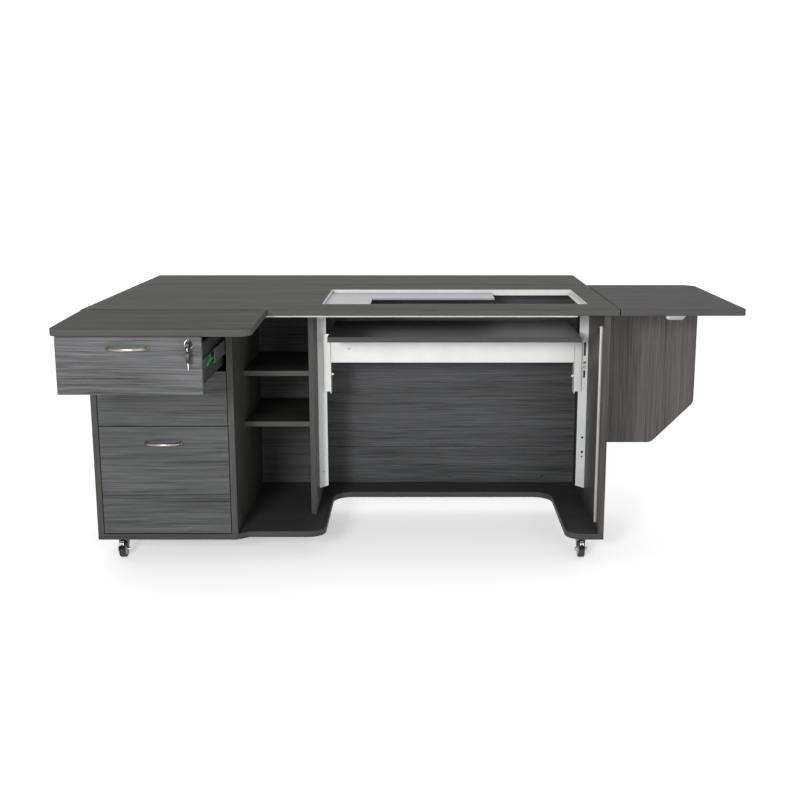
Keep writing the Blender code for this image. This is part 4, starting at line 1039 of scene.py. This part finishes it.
eased(collar, 0.0005, 3)
ring = finished(together([collar, barrel]), "lock_ring", "top_drawer", chrome)
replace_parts(ring, "drawer_lock")
core = round_bar((lock.x, low.y + 0.0011, lock.z), PLUG_RADIUS, 0.0018, "Y", 40)
eased(core, 0.0004, 2)
cut(core, slab((lock.x - KEYWAY[0], low.y - 0.002, lock.z - KEYWAY[1]),
               (lock.x + KEYWAY[0], low.y + 0.0012, lock.z + KEYWAY[1])))
finished(core, "lock_core", "top_drawer", key_black)


def key_bow(centre, radius, tall):
    """A moulded bow, standing in the plane of the blade, with dished sides."""
    bow = round_bar(centre, radius, BOW_THICKNESS, "X", 40)
    for vert in edit(bow, "VERT").verts:
        vert.co.z = centre[2] + (vert.co.z - centre[2]) * tall
    bmesh.update_edit_mesh(bow.data)
    close_up()
    pick(bow, lambda c, n: abs(n.x) > 0.9)
    bpy.ops.mesh.inset(thickness=0.0024)
    bpy.ops.mesh.inset(thickness=0.0008)
    squeeze((0.74, 1, 1), centre)
    close_up()
    return eased(bow, 0.0018, 3)


BLADE_HALF = (0.0009, 0.0036)
low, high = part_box("key")
bow_y = low.y + 0.0095
key_head = key_bow((lock.x, bow_y, lock.z - 0.0015), 0.0095, 1.22)
cut(key_head, round_bar((lock.x, bow_y - 0.0045, lock.z - 0.0035), 0.0022, 0.02, "X", 20))
key_head = finished(key_head, "key_bow", "key", key_black)
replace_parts(key_head, "key")
blade = slab((lock.x - BLADE_HALF[0], bow_y + 0.0075, lock.z - BLADE_HALF[1]),
             (lock.x + BLADE_HALF[0], high.y, lock.z + BLADE_HALF[1]))
pick(blade, lambda c, n: abs(n.x) > 0.9)
bpy.ops.mesh.inset(thickness=0.0012)
squeeze((0.5, 1, 1), (lock.x, bow_y, lock.z))
close_up()
finished(blade, "key_blade", "key", chrome)

SPARE_HALF = (0.0009, 0.0034)
low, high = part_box("spare_key")
spare_z = high.z - 0.0095
spare_head = key_bow((lock.x, bow_y, spare_z - 0.0100), 0.0082, 2.0)
cut(spare_head, round_bar((lock.x, bow_y, spare_z + 0.0030), 0.0020, 0.02, "X", 20))
spare_head = finished(spare_head, "spare_key_bow", "spare_key", key_black)
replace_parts(spare_head, "spare_key")
spare = slab((lock.x - SPARE_HALF[0], bow_y - SPARE_HALF[1], low.z),
             (lock.x + SPARE_HALF[0], bow_y + SPARE_HALF[1], spare_z - 0.0240))
pick(spare, lambda c, n: n.z < -0.9)
squeeze((1, 0.55, 1), (lock.x, bow_y, low.z))
close_up()
for notch, deep in ((0.003, 0.0012), (0.0065, 0.0018), (0.010, 0.0010)):
    z = low.z + notch
    cut(spare, slab((lock.x - 0.003, bow_y + SPARE_HALF[1] - deep, z - 0.0011),
                    (lock.x + 0.003, bow_y + 0.006, z + 0.0011)))
eased(spare, 0.0002, 1)
finished(spare, "spare_key_blade", "spare_key", chrome)

# The split ring is two turns of wire side by side, through the holes of both bows.
RING = 0.0085
WIRE = 0.0007
ring_y, ring_z = bow_y + 0.0003, lock.z - 0.0105
wire_end = (lock.x - 0.0008, ring_y, ring_z + RING)
key_ring = fresh("circle", vertices=10, radius=WIRE, fill_type="NOTHING", location=wire_end)
edit_all(key_ring)
bpy.ops.transform.rotate(value=math.pi / 2, orient_axis="X", center_override=wire_end)
bpy.ops.mesh.spin(steps=40, dupli=False, angle=2 * math.pi, center=(lock.x, ring_y, ring_z),
                  axis=(1, 0, 0))
close_up()
twin = copied(key_ring, "ring_turn", Matrix.Translation((0.0015, 0, 0)), "spare_key")
twin.parent = None
finished(together([key_ring, twin]), "key_ring", "spare_key", chrome, 60)

# ---- studio --------------------------------------------------------------------------------------
# A pale floor and backdrop that glow a little, soft light from three wide panels, and the camera in
# front of the table, a little above its top.
def lit_sheet(name, glow, size, turn, place):
    """A white sheet that glows a little, so that it stays pale in the shade."""
    sheet = fresh("plane", size=size, location=place, rotation=turn)
    sheet.name = name
    paper = Paint(name + "_paper")
    sheet.data.materials.append(paper.surface(Base_Color=(0.80, 0.80, 0.80), Roughness=0.8,
                                              Specular_IOR_Level=0.0,
                                              Emission_Color=(1.0, 1.0, 1.0),
                                              Emission_Strength=glow))


lit_sheet("floor", 0.44, 60, (0, 0, 0), (0, 0, 0))
lit_sheet("backdrop", 0.85, 60, (math.pi / 2, 0, 0), (0, 14, 0))
world = bpy.data.worlds.new("studio")
world.use_nodes = True
world.node_tree.nodes["Background"].inputs["Color"].default_value = (1.0, 1.0, 1.0, 1.0)
world.node_tree.nodes["Background"].inputs["Strength"].default_value = 0.46
bpy.context.scene.world = world
for name, place, aim, size, power in (("key_panel", (-1.20, -4.3, 1.60), (0, 0, 0.45), 0.9, 120),
                                      ("fill_panel", (1.8, -4.6, 1.5), (0, 0, 0.4), 2.0, 46),
                                      ("top_panel", (0, 0.2, 3.6), (0, 0, 0.5), 2.6, 18)):
    lamp = bpy.data.lights.new(name, "AREA")
    lamp.shape = "DISK"
    lamp.size = size
    lamp.energy = power
    panel = bpy.data.objects.new(name, lamp)
    bpy.context.scene.collection.objects.link(panel)
    panel.location = place
    panel.rotation_euler = (Vector(aim) - Vector(place)).to_track_quat("-Z", "Y").to_euler()

lens = bpy.data.cameras.new("camera")
lens.lens = 50.971
lens.sensor_width = 36.0
lens.shift_x = -0.02406
camera = bpy.data.objects.new("camera", lens)
bpy.context.scene.collection.objects.link(camera)
camera.location = (0.015, -3.5116, 1.1728)
camera.rotation_euler = (math.radians(90 - 11.854), 0, 0)
bpy.context.scene.camera = camera
bpy.context.scene.view_settings.view_transform = "Standard"
